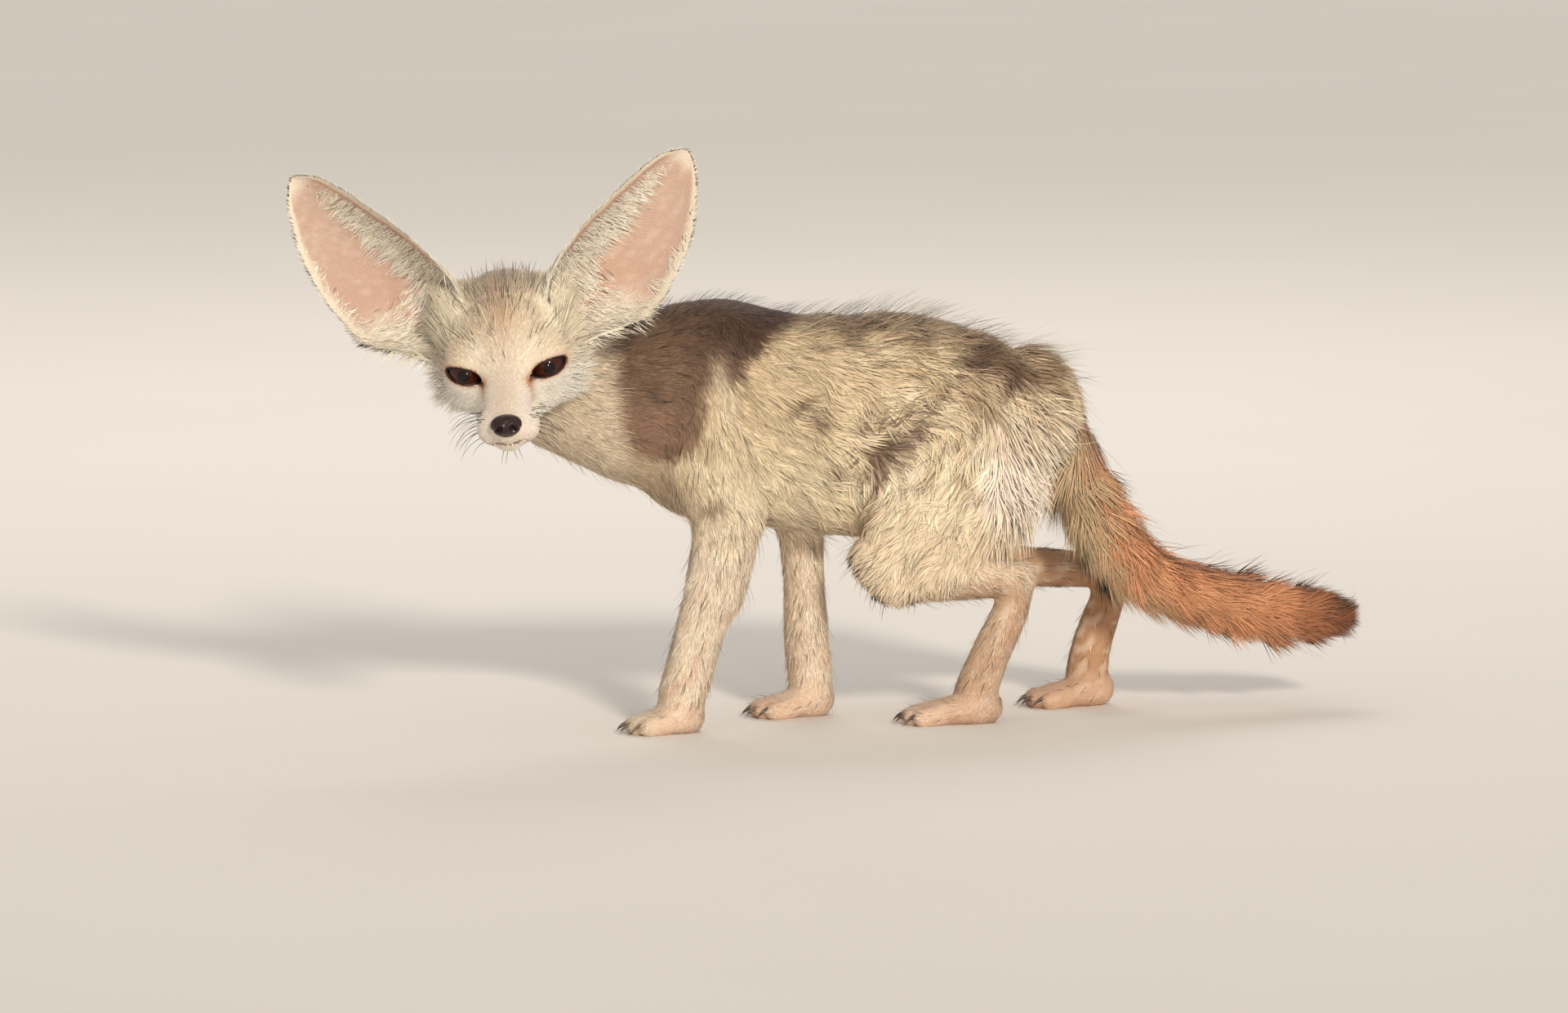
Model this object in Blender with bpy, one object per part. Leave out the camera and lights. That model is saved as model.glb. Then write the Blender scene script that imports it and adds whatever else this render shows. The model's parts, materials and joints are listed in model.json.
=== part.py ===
"""A fennec fox at life size, standing with its head turned to its left and its brush held low behind it.

The spine runs along X with the head towards -X, the left flank faces -Y, and the paws stand on Z = 0.
Sizes in the tables are in millimetres, and every mesh is turned into metres as it is made.
"""

import math

import bmesh
import bpy
import numpy as np
from mathutils import Matrix, Vector
from mathutils.kdtree import KDTree

MM = 0.001
GAP = 0.3  # between two nodes that meet
ORIGIN = (19.73, -36.39)  # x and y of the box's middle in the tables' frame
FLOOR_DEPTH = 1.2  # how far the soles reach below the floor before they are cut flat

# The head's own frame: its middle between the eyes, then how it is turned from the spine.
EYE_MIDDLE = np.array([-151.0, -72.8, 175.6])
HEAD_TURN = math.radians(74.2)
HEAD_PITCH = math.radians(11.4)
HEAD_ROLL = math.radians(6.4)

EYE_RADIUS = 9.0
EYE_LOOK = (0.17, 0.98, 0.02)
EYE_PLACE = (18.2, -8.2, 0.0)  # side, forward, up from the middle between the eyes
EYE_SLANT = math.radians(24.0)
LID_OPENING = (8.2, 3.8, 3.6)  # half length, rise of the upper lid, drop of the lower lid

EAR_THICKNESS = 2.4
CLAW_LENGTH = 6.5

# Colours as red, green, blue, then roughness.
FUR_SAND = ((0.62, 0.49, 0.34), 0.85)
FUR_CREAM = ((0.80, 0.71, 0.56), 0.85)
FUR_RUST = ((0.55, 0.29, 0.16), 0.85)
EAR_PINK = ((0.80, 0.62, 0.52), 0.7)
EYE_BROWN = ((0.06, 0.025, 0.015), 0.08)
NOSE_BLACK = ((0.045, 0.025, 0.022), 0.35)

# Each row of a limb: x, y, z, half width to the side, half depth over the path, half depth under it.
TRUNK = [
    (-70, 0, 154, 25, 37, 37),
    (-55, 0, 152, 32, 48, 47),
    (-35, 0, 148, 37, 53.5, 54),
    (-5, 0, 142.5, 40, 53.5, 53.5),
    (25, 0, 139.5, 41, 55, 55.5),
    (50, 0, 140.5, 40, 54.5, 54),
    (75, 0, 140.5, 38, 50.5, 50),
    (98, 0, 142, 35, 42, 42),
    (115, 0, 144, 28, 30, 32),
]
NECK = [
    (-36, 0, 152, 33, 47, 44),
    (-62, -2, 154, 31, 44, 42),
    (-85, -7, 156, 29, 39, 37),
    (-106, -15, 160, 27, 33, 33),
    (-124, -26, 166, 25, 29, 30),
    (-134, -36, 171, 23, 26, 26),
]
TAIL = [
    (112, 0, 166, 13, 10, 13),
    (125, -1, 153, 14, 13, 14),
    (135.5, -3, 135.7, 15, 14, 14),
    (142, -6, 111, 17, 16, 16),
    (152, -8, 89.3, 18, 20, 20),
    (167.6, -9, 69.6, 19, 21.5, 20),
    (185.4, -9, 59.5, 19, 21, 19.5),
    (209, -8, 52, 18, 19.5, 18.5),
    (232.7, -6, 46, 16.5, 17.5, 17),
    (250, -4, 43.8, 15.2, 16, 16),
    (263, -3.3, 42.6, 12, 12.5, 12.5),
]
SHOULDERS = {
    "left": [(-30, -17, 180, 11, 15, 15), (-44, -23, 150, 14, 24, 20), (-44, -26, 122, 15, 24, 19),
             (-35, -27, 100, 13, 18, 17)],
    "right": [(-22, 17, 180, 11, 15, 15), (-30, 23, 148, 14, 24, 22), (-8, 26, 118, 14, 22, 20),
              (12, 25, 99, 12, 15, 15)],
}
FORELEGS = {
    "left": [(-34, -27, 98, 12.5, 17.5, 17.5), (-40, -26.5, 67, 11.5, 15.5, 15.5),
             (-44.4, -25.5, 55.5, 11, 13, 13.5), (-49.8, -24, 36.5, 11, 12.5, 12.5),
             (-54.5, -22.5, 18, 11.5, 12, 12.5), (-58, -22, 9, 11, 11, 10)],
    "right": [(14, 25, 97, 11.5, 13.5, 13.5), (15.7, 23.5, 67.8, 10.5, 10.6, 10.8),
              (17, 22.5, 37.2, 10.5, 11.6, 11.8), (18.6, 22, 18, 10.8, 11.5, 11.5),
              (18, 22, 9, 11, 11, 10)],
}
THIGHS = {
    "left": [(97, -19, 148, 16, 26, 26), (80, -27, 118, 18, 36, 36), (58, -31, 90, 17, 33, 33),
             (44, -32, 77, 14, 19, 21)],
    "right": [(99, 19, 148, 16, 26, 24), (99, 26, 112, 17, 26, 30), (97, 29, 82, 14, 20, 24),
              (95, 29, 67, 12, 14, 16)],
}
SHANKS = {
    "left": [(46, -32, 76, 13, 18, 20), (66, -31, 73, 12, 17, 17), (86, -29.5, 70, 10.5, 12.5, 13),
             (102, -28, 67, 9, 9.5, 9.5)],
    "right": [(96, 29, 67, 12, 14, 14), (120, 29.5, 66, 10.5, 12.5, 12), (145, 29.5, 64.5, 9.5, 10.5, 10.5),
              (164, 29, 63, 8.5, 8.5, 9)],
}
HINDFEET = {
    "left": [(107, -28, 68, 8.5, 8, 9), (102, -27.5, 52, 8.5, 9.5, 10), (93, -26.5, 32, 9.5, 10, 11),
             (86, -25.5, 15, 10.5, 11, 11), (84, -25, 9, 11, 10.5, 9)],
    "right": [(169, 29, 64, 8.5, 8, 9), (165, 28.5, 47, 8.5, 9.5, 10), (158.5, 27, 29, 9.5, 10, 11),
              (155, 25.5, 15, 10.5, 11, 11), (154, 25, 9, 11, 10.5, 9)],
}
# Where each paw's heel and toe roots lie on the floor, x and y.
PAWS = {
    "fore_left": ((-53, -22), (-66, -22.5)),
    "fore_right": ((21, 22), (5, 20)),
    "hind_left": ((90, -25), (67, -23.5)),
    "hind_right": ((159, 25.5), (140, 23.5)),
}
PAW_HALF_WIDTH = 11.5
TOE_SPREAD = 6.0  # from one toe's middle to the next
TOE_REACH = (8.0, 11.5, 11.5, 8.0)  # how far each toe goes past the paw's toe roots
TOE_RADIUS = 4.7

# The head's parts in its own frame. Each row: side, forward, up, half width, depths over and under.
SKULL = [(0, -54, 6, 20, 22, 25), (0, -43, 8, 26, 28, 29), (0, -31, 8, 29, 30, 30),
         (0, -23, 6, 28, 26.5, 28)]
MUZZLE = [(0, -14, 0, 21, 15, 22), (0, 0, -4, 14.5, 11.5, 17), (0, 13, -8.5, 11.5, 9.6, 13),
          (0, 26, -12, 10.4, 8, 10.5), (0, 37, -13.8, 8.8, 6.3, 8.4)]
JAW = [(0, -22, -20, 17, 10, 9), (0, 0, -22.5, 12.5, 8, 6.5), (0, 20, -23.5, 9, 6, 4.6),
       (0, 33, -23.5, 6.5, 4.5, 4)]
WHISKER_PAD = (7.3, 29.5, -16.5, 7.4, 10.5, 8)  # side, forward, up, then its three radii
CHEEK = (17.0, -22, -7, 14.5, 19, 16.5)
BROW = (15.5, -8.5, 10, 10.5, 9, 6.5)
EAR_MOUND = [(16, -32, 16, 13, 13, 13), (21, -34.5, 23, 11.5, 11.5, 11.5)]
NOSE = (0, 42.8, -12.2, 7.2, 5.0, 5.3)
MOUTH_LINE = [(13.2, 8, -21), (12.4, 18, -21.6), (9.8, 29, -21.0), (5.2, 36.5, -21.2), (0, 38.6, -21.8)]
MOUTH_LINE_RADIUS = 0.9
NOSTRIL_RADII = (1.7, 2.4, 1.4)

# Stations up the ear: share of its length, width, half angle of its curl in degrees, push to the outer edge.
EAR_STATIONS = [
    (-0.16, 21, 115, -1.5), (0.0, 33, 100, -2), (0.12, 45, 82, -1), (0.26, 53, 72, 1.4),
    (0.42, 51.5, 62, 2.3), (0.58, 46.5, 55, 3), (0.72, 38.5, 49, 2.7), (0.84, 28.5, 45, 1.4),
    (0.93, 18.5, 42, 0.7), (0.985, 8, 38, 0.8),
]
# For each ear, in the head's frame: the back of the cup at its foot, its tip, and the way it opens.
EARS = {
    "ear_left": ((28.2, -41.4, 14.9), (90.3, -57.6, 79.0), (0.33, 0.94, 0.06)),
    "ear_right": ((-26.9, -41.7, 12.4), (-89.6, -56.6, 86.3), (-0.24, 0.95, 0.14)),
}

# The long coat: a core, and locks that rise from it to the outline that the limbs give.
BODY_COAT = 4.8  # from the core to the outline, on the trunk behind the shoulder and on the thighs
TAIL_CORE_SHARE = 0.64  # the tail core's radii as a share of the brush's
LOCK_SHARES = (0.0, 0.36, 0.7, 1.0)  # stations along a lock
LOCK_ROOT = (-3.2, -0.6)  # height over the core of the root's edges and of its ridge
LOCK_EDGE_SINK = -0.5  # the edges' height at the second station, still in the core
LOCK_EDGE_RISE = 0.7  # the edges' height at the third station as a share of the coat's depth
LOCK_RIDGE_RISE = (0.78, 1.04)  # the ridge's height at the two middle stations
LOCK_TIP_RISE = 1.1
LOCK_WIDTHS = (0.75, 1.0, 0.7)
BODY_LOCK = (52, 27)  # length and width
TAIL_LOCK = (48, 18)
BRUSH_RINGS = 7
BRUSH_SPAN = (0.07, 0.84)  # the first and last ring's place along the tail
LOCKS_PER_RING = 6
FLANK_COLUMNS = (8, 38, 68, 98)  # x of the flank's columns of locks
FLANK_ROWS = (78, 102, 126, 150, 174)  # and z of its rows
ROW_OFFSET = 5.0  # how far every other row is set back
FAR_OUT = 90.0  # well outside the flank, where the lines that find it start
FAR_ELBOW = (42, 105)  # nothing is laid before this x and under this z on the right, where the foreleg is
BACK_COLUMNS = (4, 32, 60, 88)
BACK_ROWS = (-13, 13)  # y
BELLY_COLUMNS = (24, 56)
SEED = 39

BODY_VOXEL = 2.6
BODY_TRIANGLES = 4400
HEAD_VOXEL = 1.8
HEAD_TRIANGLES = 2500
TOUCH_DISTANCE = 0.001  # two points of a surface nearer than this count as touching
TOUCH_RELIEF = 0.03

SAMPLES_PER_SPAN = 5
TUBE_SIDES = 14
CAP_ANGLES = (0.6, 1.15)  # how far round its rounded end each cap ring of a tube lies


# Frames and paths.


def head_axes():
    """The head's side (its left), forward and up directions."""
    forward = np.array([-math.cos(HEAD_TURN), -math.sin(HEAD_TURN), 0.0])
    left = np.cross([0.0, 0.0, 1.0], forward)
    forward = forward * math.cos(HEAD_PITCH) - np.array([0.0, 0.0, math.sin(HEAD_PITCH)])
    up = np.cross(forward, left)
    side = left * math.cos(HEAD_ROLL) + up * math.sin(HEAD_ROLL)
    return side, forward, np.cross(forward, side)


HEAD_AXES = np.array(head_axes())


def from_head(points):
    """Points of the head's frame, in the tables' frame."""
    return EYE_MIDDLE + np.asarray(points, float) @ HEAD_AXES


def smooth_rows(rows, per_span=SAMPLES_PER_SPAN):
    """A smooth curve through the rows, every column alike."""
    rows = np.array(rows, float)
    padded = np.vstack([2 * rows[0] - rows[1], rows, 2 * rows[-1] - rows[-2]])
    samples = []
    for i in range(len(rows) - 1):
        a, b, c, d = padded[i:i + 4]
        for t in np.arange(per_span) / per_span:
            samples.append(0.5 * (2 * b + (c - a) * t + (2 * a - 5 * b + 4 * c - d) * t**2
                                  + (3 * b - a - 3 * c + d) * t**3))
    samples.append(rows[-1])
    return np.array(samples)


def unit(vectors):
    vectors = np.asarray(vectors, float)
    return vectors / np.maximum(np.linalg.norm(vectors, axis=-1, keepdims=True), 1e-9)


def mirrored(spec):
    return (-spec[0], *spec[1:])


# Forms. Each gives the distance of points from its surface, negative inside.


class Limb:
    """A bent length of flesh with an oval section that changes along its path."""

    def __init__(self, rows, side=(0, 1, 0), in_head=False):
        path = smooth_rows(rows)
        self.points = from_head(path[:, :3]) if in_head else path[:, :3]
        side = HEAD_AXES[0] if in_head else np.array(side, float)
        self.sizes = path[:, 3:]
        self.along = unit(np.gradient(self.points, axis=0))
        self.side = unit(side - (self.along @ side)[:, None] * self.along)
        self.over = np.cross(self.along, self.side)

    def distance(self, q):
        start, span = self.points[:-1], np.diff(self.points, axis=0)
        length = (span**2).sum(1)
        share = np.clip((q @ span.T - (start * span).sum(1)) / length, 0, 1)
        near = start + share[..., None] * span
        which = ((q[:, None] - near) ** 2).sum(2).argmin(1)
        row = np.arange(len(q))
        t = share[row, which][:, None]
        off = q - near[row, which]

        def between(values):
            return values[which] * (1 - t) + values[which + 1] * t

        sizes = between(self.sizes)
        side = (off * between(self.side)).sum(1)
        over = (off * between(self.over)).sum(1)
        along = (off * between(self.along)).sum(1)
        at_end = ((which == 0) & (t[:, 0] <= 0)) | ((which == len(span) - 1) & (t[:, 0] >= 1))
        depth = np.where(over > 0, sizes[:, 1], sizes[:, 2])
        cap = 0.5 * (sizes[:, 0] + np.minimum(sizes[:, 1], sizes[:, 2]))
        past = np.where(at_end, along / cap, 0)
        rho = np.sqrt((side / sizes[:, 0]) ** 2 + (over / depth) ** 2 + past**2)
        rho = np.maximum(rho, 1e-3)
        reach = np.sqrt(side**2 + over**2 + np.where(at_end, along, 0) ** 2)
        return reach * (1 - 1 / rho)

    def seed(self):
        """A closed tube that lies just inside the limb."""
        angle = np.arange(TUBE_SIDES) * 2 * math.pi / TUBE_SIDES
        sine = np.sin(angle)[:, None]
        rings = []
        for i, (p, side, over, (a, b, c)) in enumerate(zip(self.points, self.side, self.over, self.sizes)):
            ring = side * a * np.cos(angle)[:, None] + over * np.where(sine > 0, b, c) * sine
            bulge = self.along[i] * 0.5 * (a + min(b, c))
            if i == 0:
                rings += [p + ring * math.cos(t) - bulge * math.sin(t) for t in CAP_ANGLES[::-1]]
            rings.append(p + ring)
            if i == len(self.points) - 1:
                rings += [p + ring * math.cos(t) + bulge * math.sin(t) for t in CAP_ANGLES]
        return tube_mesh(rings)


class Ball:
    """An oval lump in the head's frame."""

    def __init__(self, spec):
        self.centre = from_head(spec[:3])
        self.radii = np.array(spec[3:], float)

    def distance(self, q):
        local = (q - self.centre) @ HEAD_AXES.T
        reach = np.linalg.norm(local, axis=1)
        rho = np.maximum(np.linalg.norm(local / self.radii, axis=1), 1e-3)
        return reach * (1 - 1 / rho)

    def seed(self):
        return oval_mesh(self.centre, self.radii, HEAD_AXES)


def toes_of(paw):
    """The toes of a paw as limbs, and the sole behind them."""
    heel, root = (np.array(p, float) for p in PAWS[paw])
    way = unit(root - heel)
    across = np.array([-way[1], way[0]])
    limbs = [Limb([(*heel, 8, 10, 8.5, 8 + FLOOR_DEPTH),
                   (*(heel + root) / 2, 7, PAW_HALF_WIDTH, 7.5, 7 + FLOOR_DEPTH),
                   (*root, 5.5, PAW_HALF_WIDTH - 0.5, 6, 5.5 + FLOOR_DEPTH)], side=(*across, 0))]
    for number, reach in enumerate(TOE_REACH):
        offset = (number - 1.5) * TOE_SPREAD
        start = root + across * offset * 0.8
        end = root + across * offset + way * reach
        limbs.append(Limb([(*start, 5.5, 4.2, 4.6, 6), (*end, 4.2, TOE_RADIUS, 4.4, 4.2 + FLOOR_DEPTH)],
                          side=(*across, 0)))
    return limbs


def fade(value, start, end):
    """Rises smoothly from 0 at the start to 1 at the end."""
    t = np.clip((value - start) / (end - start), 0, 1)
    return t * t * (3 - 2 * t)


def blended(first, second, width):
    """Two distances joined with a fillet of about that width."""
    near = np.maximum(width - np.abs(first - second), 0) / width
    return np.minimum(first, second) - near**2 * width / 4


TRUNK_FORM = Limb(TRUNK)
NECK_FORM = Limb(NECK)
TAIL_FORM = Limb([(*row[:3], *(TAIL_CORE_SHARE * r for r in row[3:])) for row in TAIL])
LEG_FORMS = {
    (leg, side): Limb(table[side])
    for leg, table in (("shoulder", SHOULDERS), ("foreleg", FORELEGS), ("thigh", THIGHS), ("shank", SHANKS),
                       ("hindfoot", HINDFEET))
    for side in ("left", "right")
}
PAW_FORMS = {paw: toes_of(paw) for paw in PAWS}
HEAD_FORMS = [
    (Limb(SKULL, in_head=True), 1), (Limb(MUZZLE, in_head=True), 9), (Limb(JAW, in_head=True), 6),
    (Ball(CHEEK), 14), (Ball(mirrored(CHEEK)), 14), (Limb(EAR_MOUND, in_head=True), 8),
    (Limb([mirrored(row) for row in EAR_MOUND], in_head=True), 8),
    (Ball(WHISKER_PAD), 3), (Ball(mirrored(WHISKER_PAD)), 3),
    (Ball(BROW), 5), (Ball(mirrored(BROW)), 5),
]


def head_distance(q):
    found = HEAD_FORMS[0][0].distance(q)
    for form, width in HEAD_FORMS[1:]:
        found = blended(found, form.distance(q), width)
    return found


def torso_distance(q):
    core = TRUNK_FORM.distance(q) + BODY_COAT * fade(q[:, 0], -12, 18)
    return blended(core, NECK_FORM.distance(q), 12)


def head_and_neck_distance(q):
    return blended(torso_distance(q), head_distance(q), 10)


def body_distance(q):
    found = head_and_neck_distance(q)
    for (leg, _), form in LEG_FORMS.items():
        coat = BODY_COAT if leg == "thigh" else 0
        found = blended(found, form.distance(q) + coat, 12 if leg in ("shoulder", "thigh") else 5)
    for forms in PAW_FORMS.values():
        for form in forms:
            found = blended(found, form.distance(q), 3)
    return blended(found, TAIL_FORM.distance(q), 5)


# Meshes.


def new_object(name, mesh, material=None):
    obj = bpy.data.objects.new(name, mesh)
    bpy.context.scene.collection.objects.link(obj)
    if material:
        mesh.materials.append(material)
    return obj


def mesh_from(points, faces):
    mesh = bpy.data.meshes.new("form")
    mesh.from_pydata([tuple(p * MM) for p in np.asarray(points, float)], [], [tuple(f) for f in faces])
    mesh.update()
    return mesh


def tube_mesh(rings, point=None):
    """Rings of equal count joined into a closed tube, with a point at its far end if one is given."""
    count = len(rings[0])
    points = np.vstack(rings)
    faces = [tuple(range(count))[::-1]]
    for r in range(len(rings) - 1):
        for i in range(count):
            j = (i + 1) % count
            faces.append((r * count + i, r * count + j, (r + 1) * count + j, (r + 1) * count + i))
    last = (len(rings) - 1) * count
    if point is None:
        faces.append(tuple(last + i for i in range(count)))
    else:
        points = np.vstack([points, point])
        faces += [(last + i, last + (i + 1) % count, len(points) - 1) for i in range(count)]
    return outward(mesh_from(points, faces))


def outward(mesh):
    bm = bmesh.new()
    bm.from_mesh(mesh)
    bmesh.ops.recalc_face_normals(bm, faces=bm.faces)
    bmesh.ops.triangulate(bm, faces=bm.faces)
    bm.to_mesh(mesh)
    bm.free()
    return mesh


def oval_mesh(centre, radii, axes, segments=16, rings=10):
    """A sphere stretched to three radii along the given axes."""
    bm = bmesh.new()
    bmesh.ops.create_uvsphere(bm, u_segments=segments, v_segments=rings, radius=1)
    for v in bm.verts:
        v.co = Vector((centre + (np.array(v.co) * radii) @ axes) * MM)
    bm.normal_update()
    bmesh.ops.recalc_face_normals(bm, faces=bm.faces)
    mesh = bpy.data.meshes.new("oval")
    bm.to_mesh(mesh)
    bm.free()
    return mesh


def apply_modifiers(obj):
    """The object's mesh becomes what its modifiers make."""
    graph = bpy.context.evaluated_depsgraph_get()
    graph.update()
    mesh = bpy.data.meshes.new_from_object(obj.evaluated_get(graph))
    obj.modifiers.clear()
    obj.data = mesh


def joined(meshes):
    """One mesh that holds the others, still separate inside it."""
    bm = bmesh.new()
    for mesh in meshes:
        bm.from_mesh(mesh)
    whole = bpy.data.meshes.new("joined")
    bm.to_mesh(whole)
    bm.free()
    return whole


def value_and_slope(distance, points, step=0.4):
    value = distance(points)
    slope = np.stack([distance(points + step * axis) - value for axis in np.eye(3)], axis=1) / step
    return value, slope


def settle(mesh, distance, rounds=4):
    """Moves each point of a mesh, in steps, onto the surface where the distance is nought."""
    points = np.empty(len(mesh.vertices) * 3)
    mesh.vertices.foreach_get("co", points)
    points = points.reshape(-1, 3) / MM
    for _ in range(rounds):
        value, slope = value_and_slope(distance, points)
        steepness = np.maximum((slope**2).sum(1), 0.25)
        points -= np.clip(value / steepness, -4, 4)[:, None] * slope
    mesh.vertices.foreach_set("co", (points * MM).ravel())
    mesh.update()


def form_mesh(name, forms, distance, voxel, triangles):
    """One closed skin over the forms, with about that many triangles."""
    obj = new_object(name, joined([form.seed() for form in forms]))
    remesh = obj.modifiers.new("skin", "REMESH")
    remesh.mode = "VOXEL"
    remesh.voxel_size = voxel * MM
    apply_modifiers(obj)
    settle(obj.data, distance)
    count = sum(len(face.vertices) - 2 for face in obj.data.polygons)
    thin = obj.modifiers.new("thin", "DECIMATE")
    thin.ratio = min(1.0, triangles / count)
    apply_modifiers(obj)
    return obj


def boolean(obj, others, operation, solver="MANIFOLD"):
    """Joins, cuts or keeps what obj shares with the other objects, which are then removed."""
    if not isinstance(others, list):
        others = [others]
    group = bpy.data.collections.new("tools")
    bpy.context.scene.collection.children.link(group)
    for other in others:
        for old in list(other.users_collection):
            old.objects.unlink(other)
        group.objects.link(other)
    modifier = obj.modifiers.new("boolean", "BOOLEAN")
    modifier.operation = operation
    modifier.solver = solver
    modifier.operand_type = "COLLECTION"
    modifier.collection = group
    apply_modifiers(obj)
    for other in others:
        bpy.data.objects.remove(other)
    bpy.data.collections.remove(group)
    return obj


def part_touching(obj):
    """Where two places of the surface share a point, draws each a little back towards its own neighbours."""
    bm = bmesh.new()
    bm.from_mesh(obj.data)
    tree = KDTree(len(bm.verts))
    for v in bm.verts:
        tree.insert(v.co, v.index)
    tree.balance()
    bm.verts.ensure_lookup_table()
    moves = []
    for v in bm.verts:
        near = {bm.verts[i] for _, i, _ in tree.find_range(v.co, TOUCH_DISTANCE * MM)} - {v}
        around = [e.other_vert(v) for e in v.link_edges]
        if near and not near & set(around):
            middle = sum((other.co for other in around), Vector()) / len(around)
            moves.append((v, (middle - v.co).normalized() * TOUCH_RELIEF * MM))
    for v, move in moves:
        v.co += move
    bm.to_mesh(obj.data)
    bm.free()


def copy_of(obj, name="copy"):
    twin = new_object(name, obj.data.copy())
    return twin


def shell_size(shell):
    """The diagonal of a closed surface's box."""
    points = np.array([v.co for v in shell])
    return np.linalg.norm(points.max(axis=0) - points.min(axis=0))


def keep_largest(obj):
    """Drops every closed surface of the mesh but the largest."""
    bm = bmesh.new()
    bm.from_mesh(obj.data)
    left = set(bm.verts)
    shells = []
    while left:
        stack = [left.pop()]
        shell = {stack[0]}
        while stack:
            for edge in stack.pop().link_edges:
                for v in edge.verts:
                    if v not in shell:
                        shell.add(v)
                        stack.append(v)
        left -= shell
        shells.append(shell)
    shells.sort(key=shell_size, reverse=True)
    bmesh.ops.delete(bm, geom=[v for shell in shells[1:] for v in shell], context="VERTS")
    bm.to_mesh(obj.data)
    bm.free()
    return obj


def region(planes, grow=0.0):
    """A block bounded by planes, each a point and the direction that points into the block."""
    bm = bmesh.new()
    bmesh.ops.create_cube(bm, size=1200 * MM)
    for point, inward in planes:
        normal = Vector(inward).normalized()
        at = (Vector(point) - normal * grow) * MM
        geometry = bm.verts[:] + bm.edges[:] + bm.faces[:]
        cut = bmesh.ops.bisect_plane(bm, geom=geometry, plane_co=at, plane_no=-normal, clear_outer=True)
        edges = [e for e in cut["geom_cut"] if isinstance(e, bmesh.types.BMEdge)]
        bmesh.ops.contextual_create(bm, geom=edges)
    bm.normal_update()
    bmesh.ops.recalc_face_normals(bm, faces=bm.faces)
    mesh = bpy.data.meshes.new("region")
    bm.to_mesh(mesh)
    bm.free()
    return new_object("region", mesh)


def parted(whole, name, planes):
    """Takes the piece inside the planes off the whole, with the gap left between them."""
    piece = boolean(copy_of(whole, name), region(planes), "INTERSECT")
    boolean(whole, region(planes, GAP), "DIFFERENCE")
    return keep_largest(piece)


def inflated(obj, by):
    """A copy whose surface stands out by that much."""
    twin = copy_of(obj)
    swell = twin.modifiers.new("swell", "DISPLACE")
    swell.strength = by * MM
    swell.mid_level = 0
    apply_modifiers(twin)
    return twin


# Locks of the long coat.


def at_level(points, distance, level):
    """The points moved along the slope to that height over the core."""
    for _ in range(2):
        value, slope = value_and_slope(distance, points)
        points = points - (value - level)[:, None] * unit(slope)
    return points


def lay_locks(starts, lie, size, depth, rng):
    """Flat tapered locks with a ridge, which leave the core at the starts and bend over it along its lie."""
    count = len(starts)
    length = size[0] * rng.uniform(0.85, 1.15, count)[:, None]
    half_width = size[1] / 2 * rng.uniform(0.85, 1.15, count)[:, None]
    turn = rng.normal(0, 0.13, count)[:, None]
    depth = depth * rng.uniform(0.9, 1.06, count)
    edges = [LOCK_ROOT[0] + 0 * depth, LOCK_EDGE_SINK + 0 * depth, LOCK_EDGE_RISE * depth]
    ridges = [LOCK_ROOT[1] + 0 * depth, *(rise * depth for rise in LOCK_RIDGE_RISE)]
    points = starts
    sections = []
    for station in range(len(LOCK_SHARES)):
        normal = unit(value_and_slope(body_distance, points)[1])
        way = unit(lie - (lie * normal).sum(1, keepdims=True) * normal)
        across = np.cross(normal, way)
        way = way * np.cos(turn) + across * np.sin(turn)
        across = np.cross(normal, way)
        if station == len(ridges):
            break
        reach = across * half_width * LOCK_WIDTHS[station]
        left = at_level(points - reach, body_distance, edges[station])
        ridge = at_level(points, body_distance, ridges[station])
        right = at_level(points + reach, body_distance, edges[station])
        sections.append(np.stack([left, ridge, right], axis=1))
        points = points + way * length * (LOCK_SHARES[station + 1] - LOCK_SHARES[station])
        points = at_level(points, body_distance, 0.5 * depth)
    tips = at_level(points, body_distance, LOCK_TIP_RISE * depth)
    return [new_object("lock", tube_mesh([section[i] for section in sections], tips[i]))
            for i in range(count)]


def cast(starts, way):
    """Where lines from the starts first meet the core, leaving out those that miss it."""
    points = starts.copy()
    for _ in range(40):
        points = points + way * (0.7 * np.clip(body_distance(points), -5, 12))[:, None]
    return points[np.abs(body_distance(points)) < 0.5]


def body_locks(rng):
    """Locks on the flanks, thighs, back and belly."""
    locks = []
    for side in (-1, 1):
        grid = np.array([(x + ROW_OFFSET * (row % 2), side * FAR_OUT, z)
                         for row, z in enumerate(FLANK_ROWS) for x in FLANK_COLUMNS])
        grid[:, [0, 2]] += rng.uniform(-3, 3, (len(grid), 2))
        starts = cast(grid, np.array([0, -side, 0]))
        starts = starts[(starts[:, 0] < 124) & (side * starts[:, 1] > 12)]
        if side > 0:
            starts = starts[(starts[:, 0] > FAR_ELBOW[0]) | (starts[:, 2] > FAR_ELBOW[1])]
        low = 1 - fade(starts[:, 2], 85, 150)
        lie = np.column_stack([1 - 0.35 * low, np.zeros(len(starts)), -0.25 - 0.5 * low])
        locks += lay_locks(starts, lie, BODY_LOCK, BODY_COAT, rng)
    for columns, z, slant in ((BACK_COLUMNS, 260.0, -0.1), (BELLY_COLUMNS, 30.0, -0.15)):
        grid = np.array([(x, y, z) for x in columns for y in BACK_ROWS])
        grid[:, :2] += rng.uniform(-3, 3, (len(grid), 2))
        starts = cast(grid, np.array([0, 0, -1 if z > 150 else 1]))
        starts = starts[starts[:, 2] > 75]
        locks += lay_locks(starts, np.tile([1.0, 0, slant], (len(starts), 1)), BODY_LOCK, BODY_COAT, rng)
    return locks


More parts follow.
